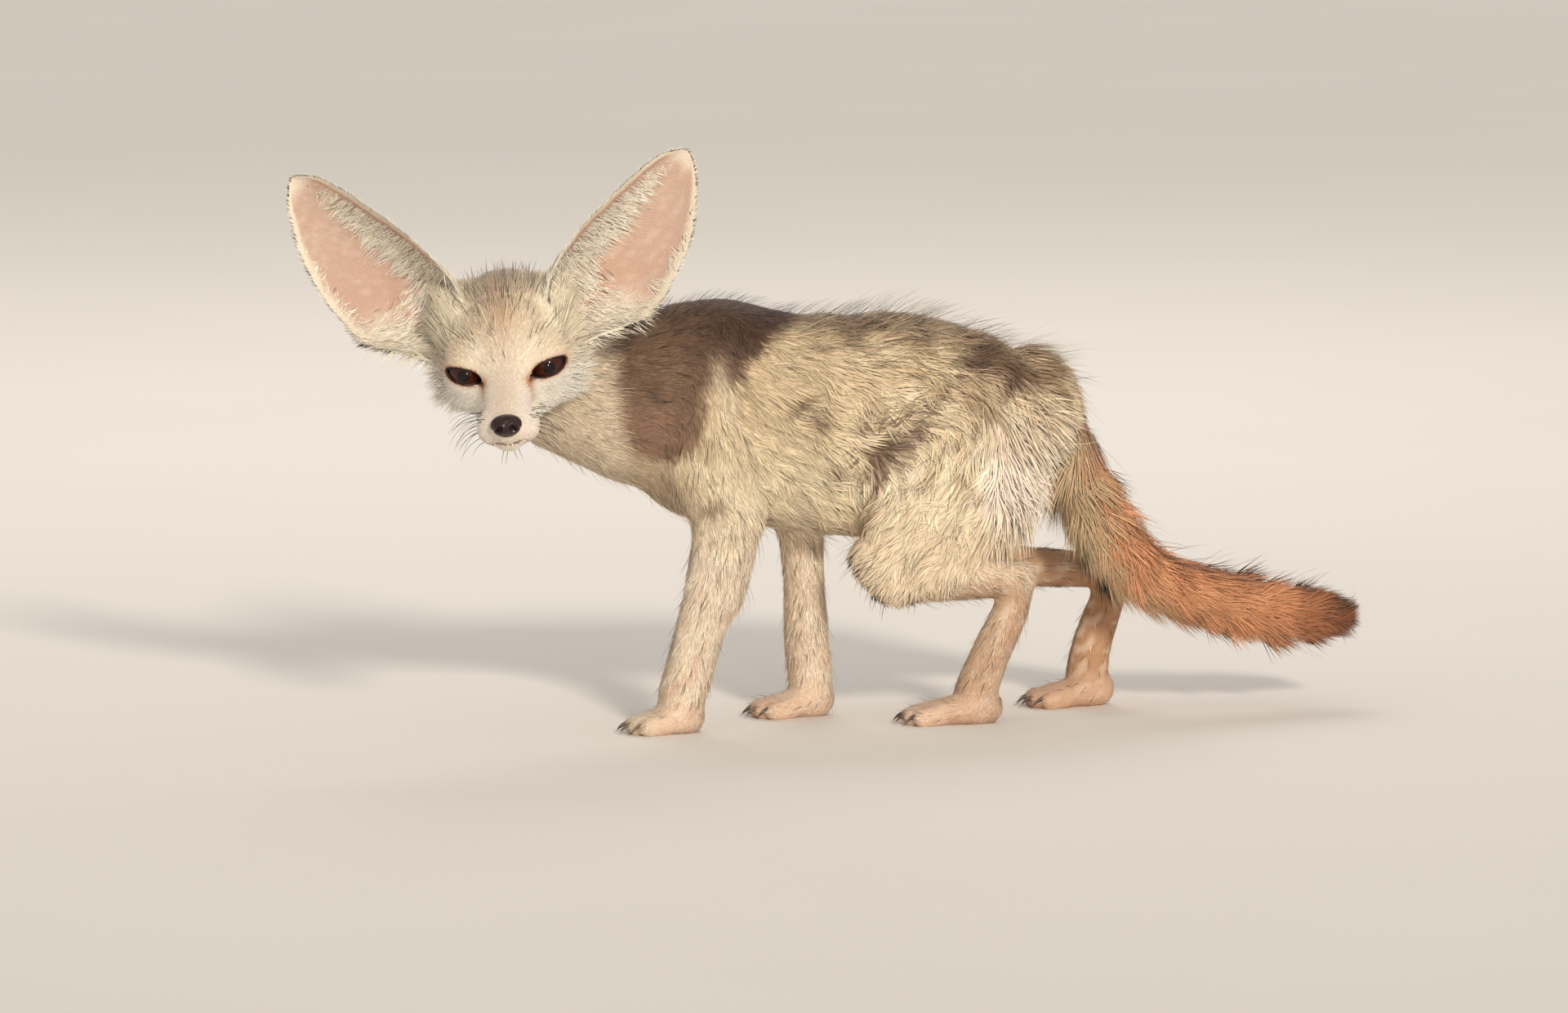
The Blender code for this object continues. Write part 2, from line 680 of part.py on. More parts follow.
def tail_locks(rng):
    """Rings of locks down the brush."""
    starts, lie, depth = [], [], []
    form = TAIL_FORM
    last = len(form.points) - 1
    for ring in range(BRUSH_RINGS):
        i = int(round(last * np.interp(ring, (0, BRUSH_RINGS - 1), BRUSH_SPAN)))
        for k in range(LOCKS_PER_RING):
            angle = 2 * math.pi * (k + 0.5 * (ring % 2) + rng.uniform(-0.15, 0.15)) / LOCKS_PER_RING
            ring_depth = form.sizes[i, 1] if math.sin(angle) > 0 else form.sizes[i, 2]
            starts.append(form.points[i] + form.side[i] * form.sizes[i, 0] * math.cos(angle)
                          + form.over[i] * ring_depth * math.sin(angle))
            lie.append(form.along[min(i + 3, last)])
            depth.append(ring_depth * (1 / TAIL_CORE_SHARE - 1))
    return lay_locks(np.array(starts), np.array(lie), TAIL_LOCK, np.array(depth), rng)


# Where the body is parted. A plane is a point and the direction that points into the piece.
CUTS = {
    "foreleg_left": [
        ((-35, -12, 99), (0, -0.8, -0.6)), ((-57, 0, 110), (0.967, 0, -0.255)),
        ((-10, 0, 0), (-1, 0, 0)), ((0, -6, 0), (0, -1, 0)),
    ],
    "foreleg_right": [
        ((15, 11, 97), (0, 0.8, -0.6)), ((-9, 0, 100), (0.99, 0, -0.08)),
        ((36, 0, 100), (-1, 0, 0)), ((0, 6, 0), (0, 1, 0)),
    ],
    "hindleg_left": [
        ((80, -10, 88), (0.1, -0.85, -0.5)), ((11, 0, 60), (0.94, 0, -0.34)),
        ((0, -6, 0), (0, -1, 0)), ((121, 0, 0), (-1, 0, 0)),
    ],
    "hindleg_right": [
        ((90, 10, 88), (0.1, 0.85, -0.5)), ((62, 0, 60), (0.97, 0, -0.25)),
        ((0, 12, 0), (0, 1, 0)),
    ],
}
PAW_CUT_HEIGHT = 17.0
HEAD_CUT = ((-122, -25, 167), (-0.72, -0.62, 0.3))
NECK_CUT = ((-66, 0, 150), (-0.97, -0.1, 0.22))
TAIL_CUT = [((124, 0, 140), (1, 0, 0)), ((129, 0, 147), (0.5, 0, -0.87))]
BRUSH_CUT = ((176, -9, 66), (0.8, 0, -0.6))


def ear_mesh(name):
    """The cup of one ear: a curled leaf of even thickness, open to the front."""
    root, tip, facing = (np.array(v, float) for v in EARS[name])
    length = np.linalg.norm(tip - root)
    axis = (tip - root) / length
    facing = unit(facing - (facing @ axis) * axis)
    outer = np.cross(facing, axis) * (1 if root[0] > 0 else -1)
    across_count = 14
    rows = smooth_rows(EAR_STATIONS, 1)
    grid = []
    for share, width, half_angle, push in rows:
        angle = math.radians(half_angle)
        radius = width / 2 / (math.sin(angle) if half_angle < 90 else 1)
        turn = np.linspace(-angle, angle, across_count)
        place = root + axis * length * share + outer * push
        rim = facing * (radius - radius * np.cos(turn))[:, None] + outer * (radius * np.sin(turn))[:, None]
        grid.append(from_head(place + rim))
    tip_row = from_head(root + axis * length * 1.01 + facing * 1.2)
    points = np.vstack([*grid, tip_row])
    faces = []
    for r in range(len(grid) - 1):
        for i in range(across_count - 1):
            a = r * across_count + i
            faces.append((a, a + 1, a + 1 + across_count, a + across_count))
    last = (len(grid) - 1) * across_count
    faces += [(last + i, last + i + 1, len(points) - 1) for i in range(across_count - 1)]
    return mesh_from(points, faces)


def add_ear(name, head, material):
    ear = new_object(name, ear_mesh(name), material)
    thick = ear.modifiers.new("thickness", "SOLIDIFY")
    thick.thickness = EAR_THICKNESS * MM
    thick.offset = 0
    apply_modifiers(ear)
    outward(ear.data)
    boolean(ear, inflated(head, GAP), "DIFFERENCE", "EXACT")
    return keep_largest(ear)


def eye_frame(mirror):
    """Centre and axes of an eye: along its slanted opening, the way it looks, and across the opening."""
    sign = -1 if mirror else 1
    centre = from_head((EYE_PLACE[0] * sign, *EYE_PLACE[1:]))
    look = unit([EYE_LOOK[0] * sign, *EYE_LOOK[1:]])
    slant = np.array([math.cos(EYE_SLANT) * sign, 0, math.sin(EYE_SLANT)])
    along = unit(slant - (slant @ look) * look)
    across = np.cross(look, along) * -sign
    return centre, np.array([along, look, across]) @ HEAD_AXES


def lid_opening(centre, axes):
    """The almond between the lids, as a block that runs out from the eye's middle."""
    half, rise, drop = LID_OPENING
    rim = []
    for i in range(12):
        angle = i * math.pi / 6
        height = rise if math.sin(angle) >= 0 else drop
        rim.append((half * math.cos(angle), height * math.sin(angle) * abs(math.sin(angle)) ** 0.15))
    near = [centre + x * axes[0] + y * axes[2] + 1.0 * axes[1] for x, y in rim]
    far = [centre + 1.35 * (x * axes[0] + y * axes[2]) + 16 * axes[1] for x, y in rim]
    return tube_mesh([np.array(near), np.array(far)])


def add_eye(name, mirror, head, material):
    """Lids raised on the head, a socket behind them, and the eyeball in it."""
    centre, axes = eye_frame(mirror)
    lids = new_object("lids", oval_mesh(centre, [EYE_RADIUS + 1.5] * 3, axes, 20, 14))
    boolean(lids, new_object("opening", lid_opening(centre, axes)), "DIFFERENCE")
    boolean(head, new_object("opening", lid_opening(centre, axes)), "DIFFERENCE")
    boolean(head, lids, "UNION")
    socket = new_object("socket", oval_mesh(centre, [EYE_RADIUS + GAP] * 3, axes, 20, 14))
    boolean(head, socket, "DIFFERENCE")
    return new_object(name, oval_mesh(centre, [EYE_RADIUS - 0.15] * 3, axes, 14, 9), material)


def cut_mouth(head):
    """The line of the mouth, a groove round the muzzle between lip and jaw."""
    line = smooth_rows(MOUTH_LINE, 2)
    line = np.vstack([line, (line * (-1, 1, 1))[-2::-1]])
    along = unit(np.gradient(line, axis=0))
    outward_way = unit(np.cross(along, [0, 0, 1]))
    rings = []
    for p, way in zip(line, outward_way):
        angle = np.arange(6) * math.pi / 3
        section = np.cos(angle)[:, None] * way * 3.2 + np.sin(angle)[:, None] * [0, 0, 0.55]
        ring = p + MOUTH_LINE_RADIUS * section
        rings.append(from_head(ring))
    boolean(head, new_object("groove", tube_mesh(rings)), "DIFFERENCE")


def add_nose(head, material):
    """The nose pad with its two nostrils."""
    centre, radii = from_head(NOSE[:3]), np.array(NOSE[3:], float)
    pad = new_object("nose_pad", oval_mesh(centre, radii, HEAD_AXES, 16, 10), material)
    for sign in (-1, 1):
        hollow = from_head((NOSE[0] + sign * 3.6, NOSE[1] + 4.4, NOSE[2] - 0.9))
        nostril = new_object("nostril", oval_mesh(hollow, NOSTRIL_RADII, HEAD_AXES, 8, 6))
        boolean(pad, nostril, "DIFFERENCE")
    boolean(pad, inflated(head, GAP), "DIFFERENCE", "EXACT")
    return keep_largest(pad)


def claws_of(paw):
    """Four small curved claws, one past each toe."""
    heel, root = (np.array(p, float) for p in PAWS[paw])
    way = unit(root - heel)
    across = np.array([-way[1], way[0]])
    claws = []
    for number, reach in enumerate(TOE_REACH):
        middle = root + across * (number - 1.5) * TOE_SPREAD + way * (reach + 2.0)
        rings = []
        for share, radius, height in ((0, 1.5, 4.2), (0.5, 1.15, 4.1)):
            angle = np.arange(5) * 2 * math.pi / 5
            centre = middle + way * CLAW_LENGTH * share
            flat = centre + across * (radius * np.cos(angle))[:, None]
            rings.append(np.column_stack([flat, height + radius * np.sin(angle)]))
        tip = np.array([*(middle + way * CLAW_LENGTH), 1.6])
        claws.append(new_object("claw", tube_mesh(rings, tip)))
    return claws


def material(name, colour, roughness):
    made = bpy.data.materials.new(name)
    made.use_nodes = True
    shader = made.node_tree.nodes["Principled BSDF"]
    shader.inputs["Base Color"].default_value = (*colour, 1)
    shader.inputs["Roughness"].default_value = roughness
    shader.inputs["Metallic"].default_value = 0.0
    made.diffuse_color = (*colour, 1)
    return made


def finish(obj, look):
    """Gives the piece its material and moves it so that the model's box stands over the origin."""
    part_touching(obj)
    obj.data.materials.clear()
    obj.data.materials.append(look)
    obj.data.transform(Matrix.Translation((-ORIGIN[0] * MM, -ORIGIN[1] * MM, 0)))
    obj.data.shade_smooth()
    obj.data.set_sharp_from_angle(angle=math.radians(50))


def build():
    for old in list(bpy.data.objects):
        bpy.data.objects.remove(old)
    sand, cream, rust = (material(n, *c) for n, c in (("fur_sand", FUR_SAND), ("fur_cream", FUR_CREAM),
                                                      ("fur_rust", FUR_RUST)))
    pink, brown, black = (material(n, *c) for n, c in (("ear_skin", EAR_PINK), ("eye", EYE_BROWN),
                                                       ("nose", NOSE_BLACK)))
    head_forms = [form for form, _ in HEAD_FORMS]
    paw_forms = [form for forms in PAW_FORMS.values() for form in forms]
    body_forms = [TRUNK_FORM, NECK_FORM, TAIL_FORM, *LEG_FORMS.values(), *paw_forms, *head_forms]
    body = form_mesh("torso", body_forms, body_distance, BODY_VOXEL, BODY_TRIANGLES)
    rng = np.random.default_rng(SEED)
    boolean(body, body_locks(rng) + tail_locks(rng), "UNION")
    boolean(body, region([((0, 0, 0), (0, 0, 1))]), "INTERSECT")
    pieces = {}
    for name, planes in CUTS.items():
        pieces[name] = parted(body, name, planes)
        paw = name.replace("leg", "paw")
        pieces[paw] = parted(pieces[name], paw, [((0, 0, PAW_CUT_HEIGHT), (0, 0, -1))])
        boolean(pieces[paw], claws_of(name.replace("leg", "")), "UNION")
        keep_largest(pieces[paw])
    pieces["tail_root"] = parted(body, "tail_root", TAIL_CUT)
    pieces["tail_brush"] = parted(pieces["tail_root"], "tail_brush", [BRUSH_CUT])
    boolean(body, region([HEAD_CUT], GAP), "DIFFERENCE")
    pieces["neck"] = parted(body, "neck", [NECK_CUT])
    pieces["torso"] = keep_largest(body)

    head = form_mesh("head", [*head_forms, NECK_FORM], head_and_neck_distance, HEAD_VOXEL, HEAD_TRIANGLES)
    boolean(head, region([HEAD_CUT]), "INTERSECT")
    cut_mouth(head)
    pieces["eye_left"] = add_eye("eye_left", False, head, brown)
    pieces["eye_right"] = add_eye("eye_right", True, head, brown)
    keep_largest(head)
    pieces["nose_pad"] = add_nose(head, black)
    pieces["ear_left"] = add_ear("ear_left", head, pink)
    pieces["ear_right"] = add_ear("ear_right", head, pink)
    pieces["head"] = head

    looks = {"eye_left": brown, "eye_right": brown, "nose_pad": black, "head": cream}
    looks |= {"ear_left": pink, "ear_right": pink}
    looks |= {name: rust for name in pieces if name.startswith("tail")}
    looks |= {name: cream for name in pieces if "leg" in name or "paw" in name}
    for name, obj in pieces.items():
        obj.name = name
        finish(obj, looks.get(name, sand))


build()
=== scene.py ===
import json
import math

import bmesh
import bpy
import numpy as np
from mathutils import Matrix, Vector
from mathutils.kdtree import KDTree

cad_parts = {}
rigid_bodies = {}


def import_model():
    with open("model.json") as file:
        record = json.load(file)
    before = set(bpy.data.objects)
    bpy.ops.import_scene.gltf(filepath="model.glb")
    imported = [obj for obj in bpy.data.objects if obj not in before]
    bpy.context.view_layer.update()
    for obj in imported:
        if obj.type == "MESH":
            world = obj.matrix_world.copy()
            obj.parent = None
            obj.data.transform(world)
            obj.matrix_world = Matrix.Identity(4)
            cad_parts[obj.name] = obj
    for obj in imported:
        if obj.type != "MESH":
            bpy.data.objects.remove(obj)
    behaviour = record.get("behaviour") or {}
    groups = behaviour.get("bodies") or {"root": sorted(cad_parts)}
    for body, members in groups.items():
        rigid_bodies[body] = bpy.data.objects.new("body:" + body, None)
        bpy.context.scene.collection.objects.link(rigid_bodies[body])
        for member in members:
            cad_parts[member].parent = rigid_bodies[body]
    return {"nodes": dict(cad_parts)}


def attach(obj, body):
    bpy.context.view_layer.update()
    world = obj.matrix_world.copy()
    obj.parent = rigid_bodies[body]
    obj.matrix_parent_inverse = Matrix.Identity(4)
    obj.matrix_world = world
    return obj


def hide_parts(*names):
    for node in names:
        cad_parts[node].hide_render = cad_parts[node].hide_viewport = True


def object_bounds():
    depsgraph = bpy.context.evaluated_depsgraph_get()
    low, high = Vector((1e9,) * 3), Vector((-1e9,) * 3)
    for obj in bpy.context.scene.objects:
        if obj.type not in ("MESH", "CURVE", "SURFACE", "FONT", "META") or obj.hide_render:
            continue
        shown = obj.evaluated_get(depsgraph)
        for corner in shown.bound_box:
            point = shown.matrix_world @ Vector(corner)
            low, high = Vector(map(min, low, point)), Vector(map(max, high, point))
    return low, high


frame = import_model()
CAD_LOW, CAD_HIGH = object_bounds()
for loaded in bpy.context.scene.objects:
    loaded.select_set(False)

# The fox's looks: one skin over the whole body and the coat on it in tufts, then eyes, lids, nose, lips,
# whiskers, lashes and claws.
# Tables are in millimetres in the body's own frame, and ORIGIN is the box's middle there.

MM = 0.001
ORIGIN = np.array([19.73, -36.39, 0.0])

EYE_MIDDLE = np.array([-151.0, -72.8, 175.6])
HEAD_TURN = math.radians(74.2)
HEAD_PITCH = math.radians(11.4)
HEAD_ROLL = math.radians(6.4)
EYE_RADIUS = 9.0
EYE_LOOK = (0.17, 0.98, 0.02)
EYE_PLACE = (18.2, -8.2, 0.0)
EYE_SLANT = math.radians(13.5)
CORNEA_RADIUS = 6.6
CORNEA_PLACE = 3.3
LID_OPENING = (8.6, 3.3, 3.5)  # half length, rise of the upper lid, drop of the lower lid

SEED = 5
SPARSE = 1.0  # share of the tufts that are laid


# Each row of a limb: x, y, z, half width to the side, half depth over the path, half depth under it.
TRUNK = [
    (-70, 0, 154, 25, 37, 37),
    (-55, 0, 152, 32, 48, 47),
    (-35, 0, 148, 37, 53.5, 54),
    (-5, 0, 142.5, 40, 53.5, 53.5),
    (25, 0, 139.5, 41, 55, 55.5),
    (50, 0, 140.5, 40, 54.5, 54),
    (75, 0, 140.5, 38, 50.5, 50),
    (98, 0, 142, 35, 42, 42),
    (115, 0, 144, 28, 30, 32),
]
NECK = [
    (-36, 0, 152, 33, 47, 44),
    (-62, -2, 154, 31, 44, 42),
    (-85, -7, 156, 29, 39, 37),
    (-106, -15, 160, 27, 33, 33),
    (-124, -26, 166, 25, 29, 30),
    (-134, -36, 171, 23, 26, 26),
]
TAIL = [
    (112, 0, 166, 13, 10, 13),
    (125, -1, 153, 14, 13, 14),
    (135.5, -3, 135.7, 15, 14, 14),
    (142, -6, 111, 17, 16, 16),
    (152, -8, 89.3, 18, 20, 20),
    (167.6, -9, 69.6, 19, 21.5, 20),
    (185.4, -9, 59.5, 19, 21, 19.5),
    (209, -8, 52, 18, 19.5, 18.5),
    (232.7, -6, 46, 16.5, 17.5, 17),
    (250, -4, 43.8, 15.2, 16, 16),
    (263, -3.3, 42.6, 12, 12.5, 12.5),
]
SHOULDERS = {
    "left": [(-30, -17, 180, 11, 15, 15), (-44, -23, 150, 14, 24, 20), (-44, -26, 122, 15, 24, 19),
             (-35, -27, 100, 13, 18, 17)],
    "right": [(-22, 17, 180, 11, 15, 15), (-30, 23, 148, 14, 24, 22), (-8, 26, 118, 14, 22, 20),
              (12, 25, 99, 12, 15, 15)],
}
FORELEGS = {
    "left": [(-34, -27, 98, 12.5, 17.5, 17.5), (-40, -26.5, 67, 11.5, 15.5, 15.5),
             (-44.4, -25.5, 55.5, 11, 13, 13.5), (-49.8, -24, 36.5, 11, 12.5, 12.5),
             (-54.5, -22.5, 18, 11.5, 12, 12.5), (-58, -22, 9, 11, 11, 10)],
    "right": [(14, 25, 97, 11.5, 13.5, 13.5), (15.7, 23.5, 67.8, 10.5, 10.6, 10.8),
              (17, 22.5, 37.2, 10.5, 11.6, 11.8), (18.6, 22, 18, 10.8, 11.5, 11.5),
              (18, 22, 9, 11, 11, 10)],
}
THIGHS = {
    "left": [(97, -19, 148, 16, 26, 26), (80, -27, 118, 18, 36, 36), (58, -31, 90, 17, 33, 33),
             (44, -32, 77, 14, 19, 21)],
    "right": [(99, 19, 148, 16, 26, 24), (99, 26, 112, 17, 26, 30), (97, 29, 82, 14, 20, 24),
              (95, 29, 67, 12, 14, 16)],
}
SHANKS = {
    "left": [(46, -32, 76, 13, 18, 20), (66, -31, 73, 12, 17, 17), (86, -29.5, 70, 10.5, 12.5, 13),
             (102, -28, 67, 9, 9.5, 9.5)],
    "right": [(96, 29, 67, 12, 14, 14), (120, 29.5, 66, 10.5, 12.5, 12), (145, 29.5, 64.5, 9.5, 10.5, 10.5),
              (164, 29, 63, 8.5, 8.5, 9)],
}
HINDFEET = {
    "left": [(107, -28, 68, 8.5, 8, 9), (102, -27.5, 52, 8.5, 9.5, 10), (93, -26.5, 32, 9.5, 10, 11),
             (86, -25.5, 15, 10.5, 11, 11), (84, -25, 9, 11, 10.5, 9)],
    "right": [(169, 29, 64, 8.5, 8, 9), (165, 28.5, 47, 8.5, 9.5, 10), (158.5, 27, 29, 9.5, 10, 11),
              (155, 25.5, 15, 10.5, 11, 11), (154, 25, 9, 11, 10.5, 9)],
}
# Where each paw's heel and toe roots lie on the floor, x and y.
PAWS = {
    "fore_left": ((-53, -22), (-66, -22.5)),
    "fore_right": ((21, 22), (5, 20)),
    "hind_left": ((90, -25), (67, -23.5)),
    "hind_right": ((159, 25.5), (140, 23.5)),
}
PAW_HALF_WIDTH = 11.5
TOE_SPREAD = 6.0  # from one toe's middle to the next
TOE_REACH = (8.0, 11.5, 11.5, 8.0)  # how far each toe goes past the paw's toe roots
TOE_RADIUS = 4.7
SOLE_DEPTH = 1.2
PAW_COAT = 0.7


# The head's parts in its own frame. Each row: side, forward, up, half width, half depth over and under.
SKULL = [(0, -54, 6, 20, 22, 25), (0, -43, 8, 26, 28, 29), (0, -31, 8, 29, 30, 30),
         (0, -23, 6, 28, 26.5, 28)]
MUZZLE = [(0, -14, 0, 21, 15, 22), (0, 0, -4, 14.5, 11.5, 17), (0, 13, -8.5, 11.5, 9.6, 13),
          (0, 26, -12, 10.4, 8, 10.5), (0, 37, -13.8, 8.8, 6.3, 8.4)]
JAW = [(0, -22, -20, 17, 10, 9), (0, 0, -22.5, 12.5, 8, 6.5), (0, 20, -23.5, 9, 6, 4.6),
       (0, 33, -23.5, 6.5, 4.5, 4)]
WHISKER_PAD = (7.3, 29.5, -16.5, 7.4, 10.5, 8)  # side, forward, up, then its three radii
CHEEK = (17.0, -22, -7, 14.5, 19, 16.5)
BROW = (15.5, -8.5, 10, 10.5, 9, 6.5)
EAR_MOUND = [(16, -32, 16, 13, 13, 13), (21, -34.5, 23, 11.5, 11.5, 11.5)]
NOSE = (0, 42.8, -12.2, 7.2, 5.0, 5.3)
MOUTH_LINE = [(13.2, 8, -21), (12.4, 18, -21.6), (9.8, 29, -21.0), (5.2, 36.5, -21.2), (0, 38.6, -21.8)]

# Stations up the ear: share of its length, width, half angle of the curl in degrees, push outwards.
EAR_STATIONS = [
    (-0.16, 21, 115, -1.5), (0.0, 33, 100, -2), (0.12, 45, 82, -1), (0.26, 53, 72, 1.4),
    (0.42, 51.5, 62, 2.3), (0.58, 46.5, 55, 3), (0.72, 38.5, 49, 2.7), (0.84, 28.5, 45, 1.4),
    (0.93, 18.5, 42, 0.7), (0.985, 8, 38, 0.8),
]
# For each ear, in the head's frame: the back of the cup at its foot, its tip, and the way it opens.
EARS = {
    "ear_left": ((28.2, -41.4, 14.9), (90.3, -57.6, 79.0), (0.33, 0.94, 0.06)),
    "ear_right": ((-26.9, -41.7, 12.4), (-89.6, -56.6, 86.3), (-0.24, 0.95, 0.14)),
}


# Frames and paths.


def head_axes():
    """The head's side (its left), forward and up directions."""
    forward = np.array([-math.cos(HEAD_TURN), -math.sin(HEAD_TURN), 0.0])
    left = np.cross([0.0, 0.0, 1.0], forward)
    forward = forward * math.cos(HEAD_PITCH) - np.array([0.0, 0.0, math.sin(HEAD_PITCH)])
    up = np.cross(forward, left)
    side = left * math.cos(HEAD_ROLL) + up * math.sin(HEAD_ROLL)
    return side, forward, np.cross(forward, side)


HEAD_AXES = np.array(head_axes())


def from_head(points):
    return EYE_MIDDLE + np.asarray(points, float) @ HEAD_AXES


def to_head(points):
    return (np.asarray(points, float) - EYE_MIDDLE) @ HEAD_AXES.T


def smooth_rows(rows, per_span=4):
    """A smooth curve through the rows, every column alike."""
    rows = np.array(rows, float)
    padded = np.vstack([2 * rows[0] - rows[1], rows, 2 * rows[-1] - rows[-2]])
    samples = []
    for i in range(len(rows) - 1):
        a, b, c, d = padded[i:i + 4]
        for t in np.arange(per_span) / per_span:
            samples.append(0.5 * (2 * b + (c - a) * t + (2 * a - 5 * b + 4 * c - d) * t**2
                                  + (3 * b - a - 3 * c + d) * t**3))
    samples.append(rows[-1])
    return np.array(samples)


def unit(vectors):
    vectors = np.asarray(vectors, float)
    return vectors / np.maximum(np.linalg.norm(vectors, axis=-1, keepdims=True), 1e-9)


def mirrored(spec):
    return (-spec[0], *spec[1:])


def fade(value, start, end):
    """Rises smoothly from 0 at the start to 1 at the end."""
    t = np.clip((value - start) / (end - start), 0, 1)
    return t * t * (3 - 2 * t)


def ripple(points, wavelength, seed):
    """Smooth random waves over the body, about -1 to 1."""
    waves = np.random.default_rng(seed)
    total = np.zeros(len(points))
    for _ in range(7):
        way = unit(waves.normal(size=3)) * waves.uniform(0.7, 1.4) * 2 * math.pi / wavelength
        total += np.sin(points @ way + waves.uniform(0, 2 * math.pi))
    return total / 2.6


# Forms. Each gives the distance of points from its surface, negative inside.


class Limb:
    """A bent length of flesh with an oval section. The coat's depth is taken off its table's sizes."""

    def __init__(self, rows, coat=0.0, side=(0, 1, 0), in_head=False, share=1.0):
        rows = np.array(rows, float)
        rows[:, 3:] = np.maximum(rows[:, 3:] * share - np.reshape(coat, (-1, 1)), 1.0)
        path = smooth_rows(rows)
        self.points = from_head(path[:, :3]) if in_head else path[:, :3]
        side = HEAD_AXES[0] if in_head else np.array(side, float)
        self.sizes = path[:, 3:]
        self.along = unit(np.gradient(self.points, axis=0))
        self.side = unit(side - (self.along @ side)[:, None] * self.along)
        self.over = np.cross(self.along, self.side)
        reach = self.sizes.max()
        self.low = self.points.min(0) - reach
        self.high = self.points.max(0) + reach

    def locate(self, q):
        """For each point: its place along the path and round it, its distance, and the path's direction."""
        start = self.points[:-1]
        span = np.diff(self.points, axis=0)
        length = (span**2).sum(1)
        share = np.clip((q @ span.T - (start * span).sum(1)) / length, 0, 1)
        near = start + share[..., None] * span
        which = ((q[:, None] - near) ** 2).sum(2).argmin(1)
        row = np.arange(len(q))
        t = share[row, which][:, None]
        off = q - near[row, which]

        def between(values):
            return values[which] * (1 - t) + values[which + 1] * t

        sizes = between(self.sizes)
        side = (off * between(self.side)).sum(1)
        over = (off * between(self.over)).sum(1)
        way = between(self.along)
        along = (off * way).sum(1)
        at_end = ((which == 0) & (t[:, 0] <= 0)) | ((which == len(span) - 1) & (t[:, 0] >= 1))
        depth = np.where(over > 0, sizes[:, 1], sizes[:, 2])
        cap = 0.5 * (sizes[:, 0] + np.minimum(sizes[:, 1], sizes[:, 2]))
        past = np.where(at_end, along / cap, 0)
        rho = np.maximum(np.sqrt((side / sizes[:, 0]) ** 2 + (over / depth) ** 2 + past ** 2), 1e-3)
        reach = np.sqrt(side**2 + over**2 + np.where(at_end, along, 0) ** 2)
        place = (which + t[:, 0]) / len(span)
        return place, np.arctan2(over, side) / (2 * math.pi) + 0.5, reach * (1 - 1 / rho), way

    def distance(self, q):
        found = np.linalg.norm(np.maximum(np.maximum(self.low - q, q - self.high), 0), axis=1)
        close = found < 16
        if close.any():
            found[close] = self.locate(q[close])[2]
        return found

    def seed(self):
        """A closed tube that lies just inside the limb."""
        angle = np.arange(14) * 2 * math.pi / 14
        sine = np.sin(angle)[:, None]
        rings = []
        for i, (p, side, over, (a, b, c)) in enumerate(zip(self.points, self.side, self.over, self.sizes)):
            ring = side * a * np.cos(angle)[:, None] + over * np.where(sine > 0, b, c) * sine
            bulge = self.along[i] * 0.5 * (a + min(b, c))
            if i == 0:
                rings += [p + ring * math.cos(t) - bulge * math.sin(t) for t in (1.15, 0.6)]
            rings.append(p + ring)
            if i == len(self.points) - 1:
                rings += [p + ring * math.cos(t) + bulge * math.sin(t) for t in (0.6, 1.15)]
        return tube_mesh(rings)


class Ball:
    """An oval lump in the head's frame."""

    def __init__(self, spec, coat=0.0):
        self.centre = from_head(spec[:3])
        self.radii = np.array(spec[3:], float) - coat

    def distance(self, q):
        local = (q - self.centre) @ HEAD_AXES.T
        reach = np.linalg.norm(local, axis=1)
        rho = np.maximum(np.linalg.norm(local / self.radii, axis=1), 1e-3)
        return reach * (1 - 1 / rho)

    def seed(self):
        return oval_mesh(self.centre, self.radii, HEAD_AXES)


def toes_of(paw):
    """The toes of a paw as limbs, and the sole behind them."""
    heel, root = (np.array(p, float) for p in PAWS[paw])
    way = unit(root - heel)
    across = np.array([-way[1], way[0]])
    wide = PAW_HALF_WIDTH
    sole = [(*heel, 8, 10, 8.5, 8 + SOLE_DEPTH), (*(heel + root) / 2, 7, wide, 7.5, 7 + SOLE_DEPTH),
            (*root, 5.5, wide - 0.5, 6, 5.5 + SOLE_DEPTH)]
    limbs = [Limb(sole, [PAW_COAT] * 3, side=(*across, 0))]
    for number, reach in enumerate(TOE_REACH):
        offset = (number - 1.5) * TOE_SPREAD
        start = root + across * offset * 0.8
        end = root + across * offset + way * reach
        toe = [(*start, 5.5, 4.2, 4.6, 6), (*end, 4.2, TOE_RADIUS, 4.4, 4.2 + SOLE_DEPTH)]
        limbs.append(Limb(toe, [PAW_COAT] * 2, side=(*across, 0)))
    for limb in limbs:
        limb.sizes[:, 2] += PAW_COAT
    return limbs


def blended(first, second, width):
    """Two distances joined with a fillet of about that width."""
    near = np.maximum(width - np.abs(first - second), 0) / width
    return np.minimum(first, second) - near**2 * width / 4


TAIL_SKIN_SHARE = 0.48
LID_THICKNESS = 1.2
TRUNK_FORM = Limb(TRUNK, [2.5, 2.5, 3, 4, 6, 6.5, 6.5, 6, 5])
NECK_FORM = Limb(NECK, [3.5, 3.5, 3.5, 3.5, 3.0, 2.5])
TAIL_FORM = Limb(TAIL, share=TAIL_SKIN_SHARE)
LEG_COATS = {"shoulder": [2, 2, 2, 2], "foreleg": [1.8, 1.6, 1.5, 1.4, 1.2, 1], "thigh": [4, 3.5, 2.5, 2],
             "shank": [4, 3, 2, 1.5], "hindfoot": [1.5, 1.5, 1.4, 1.2, 1]}
LEG_TABLES = {"shoulder": SHOULDERS, "foreleg": FORELEGS, "thigh": THIGHS, "shank": SHANKS,
              "hindfoot": HINDFEET}
LEG_FORMS = {(leg, side): Limb(table[side], LEG_COATS[leg][:len(table[side])])
             for leg, table in LEG_TABLES.items() for side in ("left", "right")}
